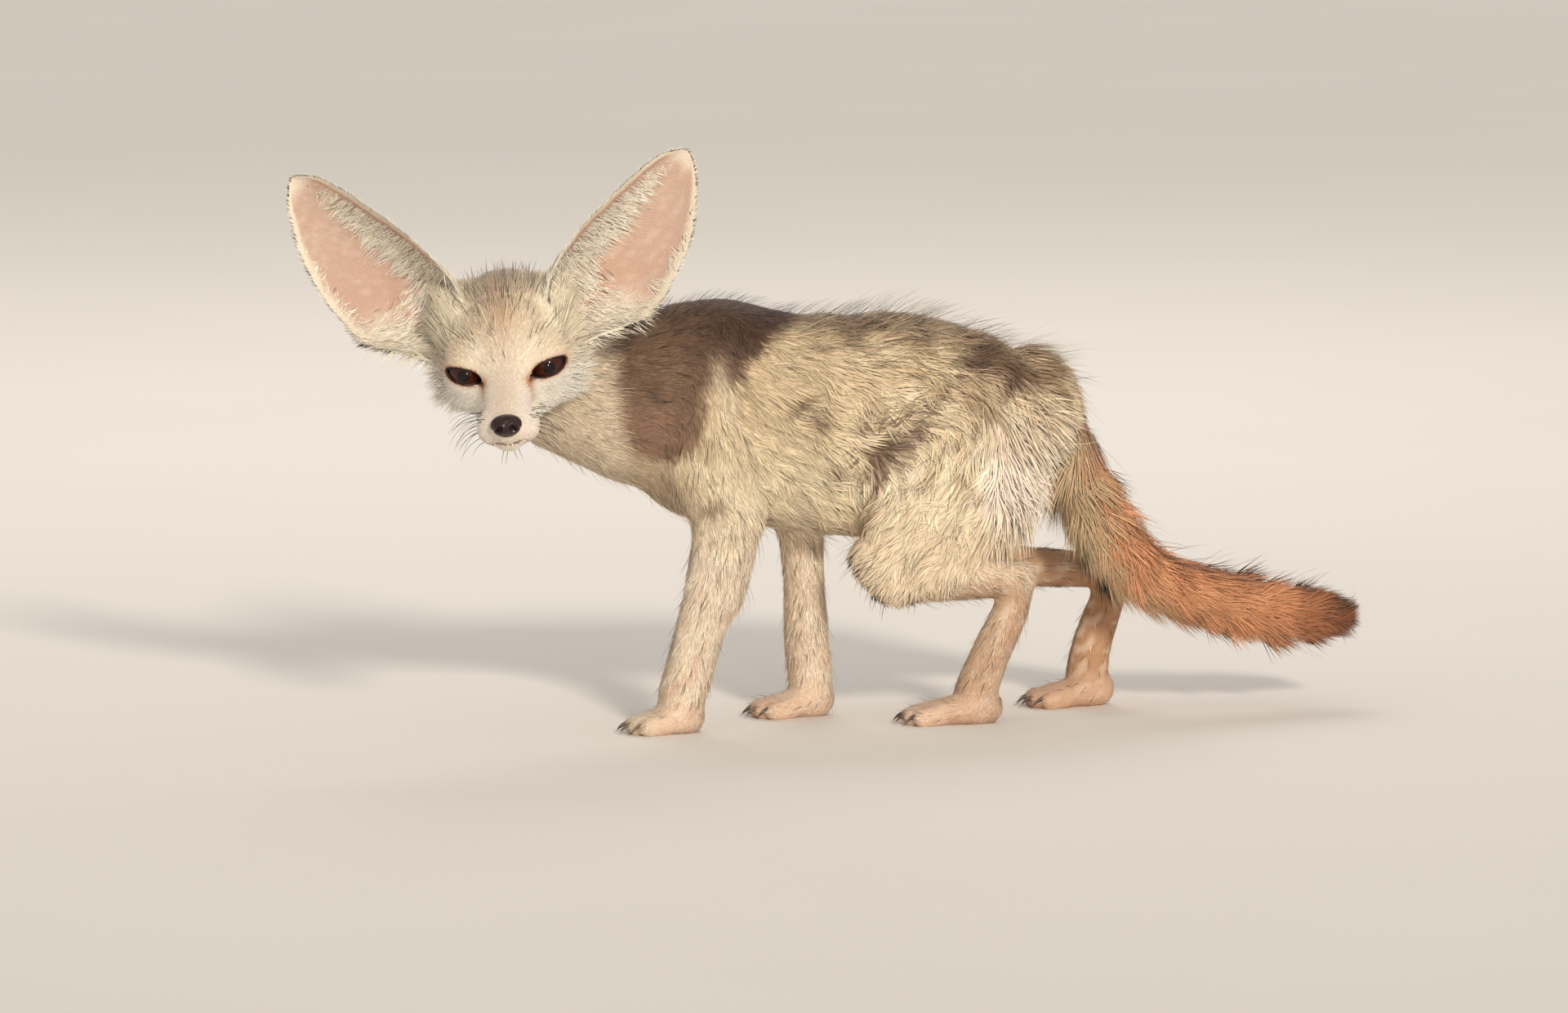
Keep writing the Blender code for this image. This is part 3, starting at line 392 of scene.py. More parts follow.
PAW_FORMS = {paw: toes_of(paw) for paw in PAWS}
EYE_BALLS = [(sign * EYE_PLACE[0], *EYE_PLACE[1:], *[EYE_RADIUS + LID_THICKNESS] * 3) for sign in (1, -1)]
HEAD_FORMS = [
    (Limb(SKULL, [2.0] * 4, in_head=True), 1), (Limb(MUZZLE, [1.8, 1.2, 0.8, 0.5, 0.4], in_head=True), 9),
    (Limb(JAW, [2.2, 1.4, 0.9, 0.6], in_head=True), 6),
    (Ball(CHEEK, 2.4), 14), (Ball(mirrored(CHEEK), 2.4), 14),
    (Limb(EAR_MOUND, [1.5, 1.5], in_head=True), 8),
    (Limb([mirrored(row) for row in EAR_MOUND], [1.5, 1.5], in_head=True), 8),
    (Ball(WHISKER_PAD, 0.5), 3), (Ball(mirrored(WHISKER_PAD), 0.5), 3),
    (Ball(BROW, 1.2), 5), (Ball(mirrored(BROW), 1.2), 5), (Ball(EYE_BALLS[0]), 4), (Ball(EYE_BALLS[1]), 4),
]


def head_distance(q):
    found = HEAD_FORMS[0][0].distance(q)
    for form, width in HEAD_FORMS[1:]:
        found = blended(found, form.distance(q), width)
    return found


def head_and_neck_distance(q):
    torso = blended(TRUNK_FORM.distance(q), NECK_FORM.distance(q), 12)
    return blended(torso, head_distance(q), 10)


def body_distance(q):
    found = head_and_neck_distance(q)
    for (leg, _), form in LEG_FORMS.items():
        found = blended(found, form.distance(q), 12 if leg in ("shoulder", "thigh") else 5)
    for forms in PAW_FORMS.values():
        for form in forms:
            found = blended(found, form.distance(q), 3)
    return blended(found, TAIL_FORM.distance(q), 5)


# Meshes.


def new_object(name, mesh):
    obj = bpy.data.objects.new(name, mesh)
    bpy.context.scene.collection.objects.link(obj)
    return obj


def outward(mesh):
    bm = bmesh.new()
    bm.from_mesh(mesh)
    bmesh.ops.recalc_face_normals(bm, faces=bm.faces)
    bm.to_mesh(mesh)
    bm.free()
    return mesh


def mesh_from(points, faces, name="form"):
    """A mesh in the tables' millimetres, brought to its place in metres."""
    mesh = bpy.data.meshes.new(name)
    placed = (np.asarray(points, float) - ORIGIN) * MM
    mesh.from_pydata([tuple(p) for p in placed], [], [tuple(f) for f in faces])
    mesh.update()
    return mesh


def points_of(mesh):
    points = np.empty(len(mesh.vertices) * 3)
    mesh.vertices.foreach_get("co", points)
    return points.reshape(-1, 3) / MM + ORIGIN


def place_points(mesh, points):
    mesh.vertices.foreach_set("co", ((points - ORIGIN) * MM).ravel())
    mesh.update()


def tube_mesh(rings, tip=None):
    """Rings of equal count joined into a closed tube, drawn to a point at its far end if a tip is given."""
    count = len(rings[0])
    points = np.vstack(rings)
    faces = [tuple(range(count))[::-1]]
    for r in range(len(rings) - 1):
        for i in range(count):
            j = (i + 1) % count
            faces.append((r * count + i, r * count + j, (r + 1) * count + j, (r + 1) * count + i))
    last = (len(rings) - 1) * count
    if tip is None:
        faces.append(tuple(last + i for i in range(count)))
    else:
        points = np.vstack([points, tip])
        faces += [(last + i, last + (i + 1) % count, len(points) - 1) for i in range(count)]
    return outward(mesh_from(points, faces))


def oval_mesh(centre, radii, axes, segments=16, rings=10):
    bm = bmesh.new()
    bmesh.ops.create_uvsphere(bm, u_segments=segments, v_segments=rings, radius=1)
    for v in bm.verts:
        v.co = Vector((centre + (np.array(v.co) * radii) @ axes - ORIGIN) * MM)
    bm.normal_update()
    bmesh.ops.recalc_face_normals(bm, faces=bm.faces)
    mesh = bpy.data.meshes.new("oval")
    bm.to_mesh(mesh)
    bm.free()
    return mesh


def joined(meshes):
    bm = bmesh.new()
    for mesh in meshes:
        bm.from_mesh(mesh)
    whole = bpy.data.meshes.new("joined")
    bm.to_mesh(whole)
    bm.free()
    return whole


def applied(obj):
    """The object with its modifiers applied."""
    graph = bpy.context.evaluated_depsgraph_get()
    graph.update()
    mesh = bpy.data.meshes.new_from_object(obj.evaluated_get(graph))
    obj.modifiers.clear()
    obj.data = mesh
    return obj


def settle(mesh, distance, rounds=3):
    """Moves each point, in steps, onto the surface where the distance is nought."""
    points = points_of(mesh)
    for _ in range(rounds):
        value = distance(points)
        slope = np.stack([distance(points + 0.4 * axis) - value for axis in np.eye(3)], axis=1) / 0.4
        steepness = np.maximum((slope**2).sum(1), 0.25)
        points -= np.clip(value / steepness, -3, 3)[:, None] * slope
    place_points(mesh, points)


def combine(obj, other, operation):
    """A Boolean by the fast solver, applied. The other object is removed."""
    modifier = obj.modifiers.new("boolean", "BOOLEAN")
    modifier.operation = operation
    modifier.solver = "MANIFOLD"
    modifier.object = other
    applied(obj)
    bpy.data.objects.remove(other)
    return obj


def skin_over(name, forms, distance, voxel):
    obj = new_object(name, joined([form.seed() for form in forms]))
    remesh = obj.modifiers.new("skin", "REMESH")
    remesh.mode = "VOXEL"
    remesh.voxel_size = voxel * MM
    applied(obj)
    settle(obj.data, distance)
    return obj


def half_space(point, inward, grow=0.0):
    """A great block whose one face is the plane through the point, moved out by the growth."""
    inward = unit(inward)
    centre = np.array(point, float) + inward * (300 - grow)
    block = bpy.data.meshes.new("block")
    bm = bmesh.new()
    bmesh.ops.create_cube(bm, size=600 * MM)
    turn = Vector((0, 0, 1)).rotation_difference(Vector(inward)).to_matrix().to_4x4()
    place = Matrix.Translation(Vector((centre - ORIGIN) * MM))
    bmesh.ops.transform(bm, matrix=place @ turn, verts=bm.verts)
    bm.to_mesh(block)
    bm.free()
    return new_object("block", block)


# Materials. A Shade stands for a socket, and Python's own operators join the nodes.


class Shade:
    def __init__(self, tree, socket):
        self.tree = tree
        self.socket = socket

    def maths(self, operation, *values):
        return make(self.tree, "ShaderNodeMath", {"operation": operation}, dict(enumerate(values)))

    def __add__(self, other):
        return self.maths("ADD", self, other)

    def __mul__(self, other):
        return self.maths("MULTIPLY", self, other)

    __radd__ = __add__
    __rmul__ = __mul__

    def between(self, low, high):
        """0 below the low value, 1 over the high one."""
        return make(self.tree, "ShaderNodeMapRange", {"interpolation_type": "SMOOTHSTEP"},
                    {"Value": self, "From Min": low, "From Max": high})


def make(tree, kind, settings, inputs, output=0):
    """A node with its settings, its sockets' values or links, and one of its outputs as a Shade."""
    node = tree.nodes.new(kind)
    for name, value in settings.items():
        setattr(node, name, value)
    for name, value in inputs.items():
        socket = node.inputs[name]
        if isinstance(value, Shade):
            tree.links.new(value.socket, socket)
        else:
            socket.default_value = value
    return Shade(tree, node.outputs[output])


def tint(first, second, amount, blend="MIX"):
    """Two colours mixed. Either may be a Shade or a plain colour."""
    tree = next(v.tree for v in (first, second, amount) if isinstance(v, Shade))
    node = tree.nodes.new("ShaderNodeMix")
    node.data_type = "RGBA"
    node.blend_type = blend
    for index, value in ((0, amount), (6, first), (7, second)):
        if isinstance(value, Shade):
            tree.links.new(value.socket, node.inputs[index])
        else:
            node.inputs[index].default_value = value if index == 0 else (*value, 1)
    return Shade(tree, node.outputs[2])


def finish_of(name, roughness, specular=0.5, coat=0.0, sheen=0.0, coat_index=1.5):
    """A new material, its node tree, and a way to link its shader's sockets."""
    material = bpy.data.materials.new(name)
    material.use_nodes = True
    tree = material.node_tree
    shader = tree.nodes["Principled BSDF"]
    shader.inputs["Roughness"].default_value = roughness
    shader.inputs["Specular IOR Level"].default_value = specular
    shader.inputs["Coat Weight"].default_value = coat
    shader.inputs["Coat Roughness"].default_value = 0.03
    shader.inputs["Coat IOR"].default_value = coat_index
    shader.inputs["Sheen Weight"].default_value = sheen

    def link(socket, value):
        tree.links.new(value.socket, shader.inputs[socket])

    return material, tree, link


def place_of(tree, stretch=(1, 1, 1)):
    """The piece's own Object coordinates, stretched."""
    where = make(tree, "ShaderNodeTexCoord", {}, {}, "Object")
    return make(tree, "ShaderNodeMapping", {}, {"Vector": where, "Scale": stretch})


def noise(tree, scale, detail=3.0, stretch=(1, 1, 1), rough=0.55):
    return make(tree, "ShaderNodeTexNoise", {},
                {"Vector": place_of(tree, stretch), "Scale": scale, "Detail": detail, "Roughness": rough})


def bump(tree, height, distance, strength=0.6):
    return make(tree, "ShaderNodeBump", {}, {"Height": height, "Distance": distance, "Strength": strength})


def attribute(tree, name, output="Color"):
    return make(tree, "ShaderNodeAttribute", {"attribute_name": name}, {}, output)


def linear(colour):
    """A colour given in screen values from 0 to 255, as linear light."""
    c = np.asarray(colour, float) / 255
    return np.where(c <= 0.04045, c / 12.92, ((c + 0.055) / 1.055) ** 2.4)


def grey_of(tree, shade):
    return make(tree, "ShaderNodeCombineColor", {}, {0: shade, 1: shade, 2: shade})


def hide_finish():
    """Skin under the coat: the markings, broken up by fine short hair."""
    material, tree, link = finish_of("hide", 0.85, 0.2)
    strands = noise(tree, 1500, 2.0, (0.35, 1, 0.6))
    mottle = noise(tree, 160, 4.0)
    shade = 0.80 + strands * 0.22 + mottle * 0.14
    link("Base Color", tint(attribute(tree, "markings"), grey_of(tree, shade), 1.0, "MULTIPLY"))
    link("Normal", bump(tree, strands + mottle, 0.0006, 0.7))
    return material


def coat_finish(name, sheen):
    """Hair: each tuft's own colour with fine flecks along it."""
    material, tree, link = finish_of(name, 0.62, 0.28, 0.0, sheen)
    flecks = noise(tree, 2600, 2.0)
    shade = 0.86 + flecks * 0.28
    link("Base Color", tint(attribute(tree, "coat"), grey_of(tree, shade), 1.0, "MULTIPLY"))
    link("Roughness", 0.5 + flecks * 0.25)
    return material


def eye_finish():
    """The eyeball: dark pupil, red-brown iris with fine rays, and a dark edge."""
    material, tree, link = finish_of("eye_ball", 0.3, 0.0, 0.8, 0.0, 1.45)
    ring = attribute(tree, "ring", "Fac")
    rays = attribute(tree, "ray", "Fac")
    threads = make(tree, "ShaderNodeTexNoise", {"noise_dimensions": "1D"},
                   {"W": rays, "Scale": 42.0, "Detail": 3.0})
    light = (threads * 0.75 + noise(tree, 420, 2.0) * 0.4).between(0.35, 0.85)
    iris = tint(linear((48, 16, 7)), linear((80, 31, 11)), light)
    iris = tint(iris, linear((30, 12, 8)), ring.between(0.55, 0.84))
    colour = tint(linear((16, 7, 5)), iris, ring.between(0.24, 0.42))
    link("Base Color", tint(colour, linear((16, 9, 8)), ring.between(0.86, 0.98)))
    return material


def nose_finish():
    """Black bare leather with fine pebbling, and painted shade, darkest in the nostrils and along the
    groove.
    """
    material, tree, link = finish_of("nose_leather", 0.34, 0.25, 0.3)
    where = {"Vector": place_of(tree), "Scale": 1700.0}
    cells = make(tree, "ShaderNodeTexVoronoi", {"feature": "F1"}, where)
    blotch = noise(tree, 300, 3.0)
    light = (blotch * 0.8 + cells * 0.4).between(0.3, 0.9)
    leather = tint(linear((27, 13, 12)), linear((54, 29, 25)), light)
    hollow_and_shade = attribute(tree, "hollow_and_shade", "Fac")
    # Painted shade: the hollows go near black in the nostrils and darker along the groove.
    link("Base Color", tint(leather, linear((9, 6, 6)), hollow_and_shade.between(0.15, 0.75)))
    link("Roughness", 0.3 + blotch * 0.2)
    link("Normal", bump(tree, cells, 0.00025, 0.5))
    return material


def rim_finish(name, colour, roughness, coat=0.0):
    """The thin bare skin of a lid or a lip, a little mottled."""
    material, tree, link = finish_of(name, roughness, 0.5, coat)
    mottle = noise(tree, 700, 3.0)
    link("Base Color", tint(linear(colour), grey_of(tree, 0.8 + mottle * 0.4), 1.0, "MULTIPLY"))
    return material


def horn_finish():
    material, tree, link = finish_of("claw_horn", 0.4, 0.45)
    along = noise(tree, 420, 3.0, (1, 1, 0.2))
    link("Base Color", tint(linear((48, 38, 32)), linear((126, 104, 84)), along.between(0.3, 0.8)))
    link("Normal", bump(tree, along, 0.0002, 0.4))
    return material


def bristle_finish():
    material, tree, link = finish_of("whisker", 0.4, 0.5)
    along = noise(tree, 120, 2.0)
    link("Base Color", tint(linear((20, 15, 13)), linear((58, 46, 38)), along))
    return material


def floor_finish():
    material, tree, link = finish_of("studio_floor", 0.9, 0.2)
    grain = noise(tree, 900, 4.0)
    wash = noise(tree, 3, 2.0)
    link("Base Color", tint(linear((228, 221, 213)), linear((236, 230, 222)), wash * 0.6 + grain * 0.4))
    link("Normal", bump(tree, grain, 0.0004, 0.15))
    return material


# The skin.

HEAD_CUT = ((-122, -25, 167), (-0.72, -0.62, 0.3))
BODY_VOXEL = 1.9
HEAD_VOXEL = 1.0
EAR_ROWS_PER_SPAN = 5
EAR_COLUMNS = 31


def ear_frame(name):
    root, tip, facing = (np.array(v, float) for v in EARS[name])
    length = np.linalg.norm(tip - root)
    axis = (tip - root) / length
    facing = unit(facing - (facing @ axis) * axis)
    outer = np.cross(facing, axis) * (1 if root[0] > 0 else -1)
    return root, length, axis, facing, outer


def ear_leaf(name):
    """The cup of one ear, thick at the foot and thin at the rim, which is a little ragged."""
    root, length, axis, facing, outer = ear_frame(name)
    rows = smooth_rows([*EAR_STATIONS, (1.004, 2.0, 36, 0.6)], EAR_ROWS_PER_SPAN)
    across = np.sin(np.linspace(-1, 1, EAR_COLUMNS) * math.pi / 2)
    rough = np.random.default_rng(SEED + (name == "ear_left"))
    nicks = 1 - 0.022 * np.abs(np.convolve(rough.normal(size=len(rows) + 2), [0.4, 0.5, 0.4], "valid"))
    sheet, place = [], []
    for (share, width, half_angle, push), nick in zip(rows, nicks):
        angle = math.radians(half_angle)
        radius = max(width * nick, 1.2) / 2 / (math.sin(angle) if half_angle < 90 else 1)
        turn = across * angle
        centre = root + axis * length * share + outer * push
        fold = 2.2 * np.exp(-((across - 0.55) / 0.16) ** 2) * fade(0.34 - share, 0, 0.3)
        ridge = 1.5 * np.exp(-((across + 0.2) / 0.12) ** 2) * fade(0.30 - share, 0, 0.25)
        depth = radius - radius * np.cos(turn) + fold + ridge
        sheet.append(from_head(centre + facing * depth[:, None] + outer * (radius * np.sin(turn))[:, None]))
        place.append(np.column_stack([np.full(EAR_COLUMNS, share), across]))
    sheet, place = np.array(sheet), np.array(place)
    normal = unit(np.cross(np.gradient(sheet, axis=0), np.gradient(sheet, axis=1)))
    normal *= np.sign((normal @ (from_head(facing) - EYE_MIDDLE)).mean())
    thickness = (0.9 + 1.6 * fade(0.4 - place[..., 0], 0, 0.5)) * (1 - 0.45 * np.abs(place[..., 1]) ** 6)
    front = sheet + normal * thickness[..., None] / 2
    back = sheet - normal * thickness[..., None] / 2
    height, wide = place.shape[:2]
    points = np.vstack([front.reshape(-1, 3), back.reshape(-1, 3)])
    index = np.arange(height * wide).reshape(height, wide)
    faces = []
    for r in range(height - 1):
        for c in range(wide - 1):
            quad = (index[r, c], index[r, c + 1], index[r + 1, c + 1], index[r + 1, c])
            faces += [quad, tuple(i + height * wide for i in quad[::-1])]
    border = [*index[0, :], *index[1:, -1], *index[-1, -2::-1], *index[-2:0:-1, 0]]
    for a, b in zip(border, border[1:] + border[:1]):
        faces.append((b, a, a + height * wide, b + height * wide))
    mesh = outward(mesh_from(points, faces, "leaf"))
    kind = 1 if name == "ear_left" else 2
    leaf = np.zeros((len(points), 3))
    leaf[:, :2] = np.vstack([place.reshape(-1, 2)] * 2)
    leaf[:, 2] = np.repeat([kind, -kind], height * wide)
    mark(mesh, "leaf", leaf)
    return new_object(name + "_leaf", mesh)


def mark(mesh, name, values):
    """Writes a value, a vector or a colour on every point of the mesh."""
    values = np.asarray(values, np.float32)
    if values.ndim == 1:
        kind, field = "FLOAT", "value"
    elif name in ("markings", "coat"):
        kind, field = "FLOAT_COLOR", "color"
        values = np.column_stack([values, np.ones(len(values), np.float32)])
    else:
        kind, field = "FLOAT_VECTOR", "vector"
    layer = mesh.attributes.new(name, kind, "POINT")
    layer.data.foreach_set(field, values.ravel())


def eye_frame(sign):
    """Centre and axes of an eye: along its slanted opening, the way it looks, and across the opening."""
    centre = from_head((EYE_PLACE[0] * sign, *EYE_PLACE[1:]))
    look = unit([EYE_LOOK[0] * sign, *EYE_LOOK[1:]])
    slant = np.array([math.cos(EYE_SLANT) * sign, 0, math.sin(EYE_SLANT)])
    along = unit(slant - (slant @ look) * look)
    across = np.cross(look, along) * -sign
    return centre, np.array([along, look, across]) @ HEAD_AXES


def lid_line(count=40):
    """The almond between the lids, along and across, from the outer corner round over the upper lid."""
    half, rise, drop = LID_OPENING
    angle = np.arange(count) * 2 * math.pi / count
    sine = np.sin(angle)
    height = np.where(sine >= 0, rise, drop) * sine * np.abs(sine) ** 0.25
    return np.column_stack([half * np.cos(angle), height - 0.9 * (np.cos(angle) < 0) * np.cos(angle) ** 4])


def lid_opening(centre, axes):
    line = lid_line()
    near = centre + line[:, :1] * axes[0] + line[:, 1:] * axes[2] + 1.0 * axes[1]
    far = centre + 1.35 * (line[:, :1] * axes[0] + line[:, 1:] * axes[2]) + 16 * axes[1]
    return new_object("opening", tube_mesh([near, far]))


def open_mouth(head):
    """The line of the mouth, a groove round the muzzle between lip and jaw."""
    line = smooth_rows(MOUTH_LINE, 4)
    line = np.vstack([line, (line * (-1, 1, 1))[-2::-1]])
    sideways = unit(np.cross(unit(np.gradient(line, axis=0)), [0, 0, 1]))
    angle = np.arange(8) * math.pi / 4
    rings = [from_head(p + np.cos(angle)[:, None] * way * 2.2 + np.sin(angle)[:, None] * [0, 0, 0.42])
             for p, way in zip(line, sideways)]
    combine(head, new_object("groove", tube_mesh(rings)), "DIFFERENCE")


def largest_shell(mesh):
    bm = bmesh.new()
    bm.from_mesh(mesh)
    left = set(bm.verts)
    shells = []
    while left:
        stack = [left.pop()]
        shell = {stack[0]}
        while stack:
            for edge in stack.pop().link_edges:
                for v in edge.verts:
                    if v not in shell:
                        shell.add(v)
                        stack.append(v)
        left -= shell
        shells.append(shell)
    shells.sort(key=len)
    bmesh.ops.delete(bm, geom=[v for shell in shells[:-1] for v in shell], context="VERTS")
    bm.to_mesh(mesh)
    bm.free()


def make_skin():
    """One closed skin from nose to tail, with the ears' leaves on it and the eyes' openings in it."""
    paws = [form for forms in PAW_FORMS.values() for form in forms]
    limbs = [TRUNK_FORM, NECK_FORM, TAIL_FORM, *LEG_FORMS.values(), *paws]
    skin = skin_over("fox_skin", limbs, body_distance, BODY_VOXEL)
    combine(skin, half_space(*HEAD_CUT), "DIFFERENCE")
    combine(skin, half_space((0, 0, 0), (0, 0, 1)), "INTERSECT")
    head_limbs = [NECK_FORM, *(form for form, _ in HEAD_FORMS)]
    head = skin_over("head", head_limbs, head_and_neck_distance, HEAD_VOXEL)
    combine(head, half_space(*HEAD_CUT, 1.0), "INTERSECT")
    for sign in (1, -1):
        centre, axes = eye_frame(sign)
        combine(head, lid_opening(centre, axes), "DIFFERENCE")
        socket = new_object("socket", oval_mesh(centre, [EYE_RADIUS + 0.15] * 3, axes, 40, 28))
        combine(head, socket, "DIFFERENCE")
    open_mouth(head)
    combine(skin, head, "UNION")
    for name in EARS:
        combine(skin, ear_leaf(name), "UNION")
    largest_shell(skin.data)
    return skin


# The coat over the skin: its lie, its length, how close it grows, and its colours.

SAND = (208, 184, 148)
CREAM = (233, 215, 182)
GREY_BROWN = (96, 71, 53)
DARK = (72, 50, 38)
WHITE = (243, 234, 219)
PINK = (204, 172, 152)
LEG_PALE = (234, 211, 184)
EAR_FOOT = (236, 222, 197)

# For each form of the body: the coat's length in mm along its path, its lift in degrees, and its cover.
COATS = {
    "trunk": ([6, 7, 8, 12, 15, 16, 16, 15, 15], 20, 4.6), "neck": ([8, 8, 9, 9, 8, 7], 22, 2.7),
    "tail": ([27, 27, 26, 25, 25, 24, 24, 23, 22, 20, 17], 28, 11.0),
    "shoulder": ([8, 8, 7.5, 7], 20, 2.7), "foreleg": ([8, 7, 6, 5.4, 4.4, 3.4], 23, 3.0),
    "thigh": ([15, 15, 12, 9], 16, 4.4), "shank": ([9, 7, 6, 5], 22, 3.2),
    "hindfoot": ([5.5, 5, 4.6, 3.8, 3.0], 21, 3.0), "paw": ([3.4, 2.8], 19, 2.6),
    "head": ([4.4, 4.4], 24, 3.3),
}
TRUNK_PARTS = ("trunk", "thigh", "neck", "shoulder")
LEGS = ("foreleg", "shank", "hindfoot", "paw")
GROUPS = [("trunk", TRUNK_FORM), ("neck", NECK_FORM), ("tail", TAIL_FORM),
          *((leg, form) for (leg, _), form in LEG_FORMS.items()),
          *(("paw", form) for forms in PAW_FORMS.values() for form in forms)]
GROUP_NAMES = [*(name for name, _ in GROUPS), "head", "ear"]
FAR_OFF = 99.0  # stands for the distance of a form that is nowhere near
GROUP_BLEND = 2.5  # how far, in mm, one form's coat runs into the next's
EAR_HAIR = 3.2
WHORL = (36.5, 131.0)
# The rear edge of the short dark patch: x at these heights.
PATCH_HEIGHTS = (122, 132, 156, 168, 178, 190, 200)
PATCH_EDGE = (-70, -53, -46, -42, -19, -2, 30)
# The upper edge of the pale throat, painted darker as shade: its height at these places along the neck.
THROAT_PLACES = (-110, -97, -82, -54)
THROAT_HEIGHTS = (156, 147, 134, 122)
# Dark partings between the clumps of the left flank: x, z, length, width and slant in degrees.
PARTINGS = [(-6, 154, 6, 2.6, 35), (2, 147, 5, 2.2, 20), (50, 141, 9, 2.2, 35), (34, 117, 7, 1.8, 75),
            (37, 105, 5, 1.5, 60), (52, 152, 9, 2, 25), (66, 160, 8, 2, 12), (84, 168, 7, 2.6, -25),
            (97, 168, 9, 4.5, -38), (84, 173, 7, 3, -20), (72, 171, 6, 2, 5), (24, 148, 6, 2, 60),
            (12, 124, 6, 1.5, 70), (60, 118, 6, 1.4, 50)]
ROOT_DEPTH = 0.3  # how deep a tuft is set in the skin
TUFT_DEPTH = 0.3  # a tuft's height in shares of its width
LOCK_TUFTS = 12
WIDEST_TUFT = 0.86
WIDEST = {"head": 0.5, "tail": 0.62, "ear": 0.4, "neck": 0.66, "shoulder": 0.66}


def painted(colour, target, mask):
    return colour + (np.asarray(target, float) - colour) * np.clip(mask, 0, 1)[:, None]


def layered(base, points, *coats):
    """One colour over all the points, and others laid over it, each through its own mask."""
    colour = np.tile(np.array(base, float), (len(points), 1))
    for target, mask in coats:
        colour = painted(colour, target, mask)
    return colour


def bell(value, centre, spread):
    return np.exp(-(((value - centre) / spread) ** 2))


def body_colours(p):
    """The markings of trunk and neck, with painted shade on the throat and by the foreleg, and on the
    flank's clumps.
    """
    x, y, z = p.T
    streak = ripple(p * (1, 1, 0.4), 8, 11)
    blot = ripple(p, 30, 12)
    fleck = ripple(p * (0.8, 1, 0.8), 13, 13)
    near = fade(y, 0, -12)
    flank = fade(x, -6, 22)
    rump = fade(x, 55, 80) * bell(z, 166, 14)
    back = fade(z, 172, 186) * fade(x, 0, 24)
    edge = np.interp(z + 3 * blot, PATCH_HEIGHTS, PATCH_EDGE) + 4 * blot + 3 * streak
    saddle = fade(x, edge + 7, edge - 7) * fade(z + 4 * blot, 112, 132)
    spine = fade(z, 180, 196) * fade(x, 70, 30)
    tuft = bell(x, -41 + (170 - z) * 0.15, 4.0) * fade(z, 136, 150) * fade(z, 184, 168)
    centre = np.hypot(x - WHORL[0], z - WHORL[1])
    rays = 0.5 + 0.5 * np.sin(7 * np.arctan2(z - WHORL[1], x - WHORL[0]) + 1.5 * fleck)
    throat = np.interp(x, THROAT_PLACES, THROAT_HEIGHTS)
    return layered(
        SAND, p,
        (CREAM, fade(z, 160, 110) * 0.85),
        # Dark and light streaks over the flank: partly the fur's own flecks, partly painted shade and light
        # on its clumps.
        ((164, 137, 102), fade(streak + 0.5 * fleck, 0.4, 1.7) * flank * 0.7),
        ((243, 226, 192), fade(-streak - 0.4 * blot, 0.1, 1.3) * flank * 0.75),
        ((178, 134, 98), bell(x, 73, 11) * bell(z, 82, 12) * 0.75),
        ((242, 224, 206), fade(x, 80, 92) * bell(z, 118, 26) * 0.9),
        ((112, 84, 62), rump * fade(fleck, 0.0, 1.2) * 0.9),
        ((118, 95, 74), back * (0.7 + 0.3 * fleck)),
        ((150, 118, 90), fade(x, 60, 92) * fade(z, 152, 172) * 0.45),
        ((190, 156, 124), bell(x, 46, 22) * bell(z, 80, 17) * 0.75),
        (GREY_BROWN, saddle * 0.85),
        ((142, 110, 90), saddle * bell(x, -72, 24) * bell(z, 142, 15) * 0.9),
        ((132, 104, 82), saddle * fade(streak + 0.5 * fleck, 0.2, 1.6) * 0.6),
        (DARK, saddle * fade(blot - 0.4 * streak, 0.5, 1.7) * 0.5),
        (DARK, saddle * bell(x, -22, 24) * bell(z, 186, 12) * 0.8),
        (DARK, spine * fade(x, -110, -70) * (0.45 + 0.2 * fleck)),
        ((222, 203, 172), tuft * 0.8),
        ((78, 57, 44), bell(centre, 0, 5.0) * near * 0.95),
        ((92, 70, 53), bell(centre, 7, 6) * rays * near * 0.85),
        ((242, 226, 198), bell(centre, 15, 6) * (1 - rays) * near * 0.55),
        # Painted shade in the crease where the foreleg leaves the chest.
        (DARK, bell(x, -45, 6) * bell(z, 107, 4.5) * 0.7),
        *(((88, 66, 50), parting(x, z, fleck, *row) * near * 0.95) for row in PARTINGS),
        ((226, 204, 172), fade(z, 108, 92) * fade(x, -40, -20)),
        # Painted shade: the throat is painted darker than its own cream, as the shade under the neck.
        ((198, 174, 143), fade(z, throat + 6, throat - 8) * fade(x, -42, -60)))


def parting(x, z, fleck, part_x, part_z, reach, breadth, slant):
    """How strongly one dark parting shows."""
    turn = math.radians(slant)
    along = (x - part_x) * math.cos(turn) + (z - part_z) * math.sin(turn)
    over = (z - part_z) * math.cos(turn) - (x - part_x) * math.sin(turn) + 0.8 * fleck
    return bell(along, 0, reach) * bell(over, 0, breadth)


def leg_colours(p):
    """The legs: pale, pinkish towards the paws, the hind ones more orange, and painted shade on the far
    ones.
    """
    x, y, z = p.T
    fleck = ripple(p, 7, 25)
    return layered(
        LEG_PALE, p,
        ((198, 163, 133), fade(x, 50, 80) * fade(z, 82, 60)),
        # Painted shade on the far legs: the far hind leg and the far foreleg are painted darker.
        ((182, 136, 100), fade(x, 50, 80) * fade(z, 75, 50) * fade(y, -10, 10) * 0.8),
        ((208, 170, 138), fade(x, 20, -10) * fade(y, 0, 14) * 0.7),
        ((242, 226, 206), fade(fleck, 0.1, 1.2) * 0.5),
        ((204, 160, 134), fade(-fleck, 0.3, 1.4) * fade(z, 70, 40) * 0.5),
        # Painted shade on the top of the far hind shank.
        ((156, 106, 74), fade(y, 0, 14) * fade(x, 90, 104) * fade(z, 62, 78) * 0.8),
        ((226, 190, 164), fade(z, 22, 8) * 0.6))


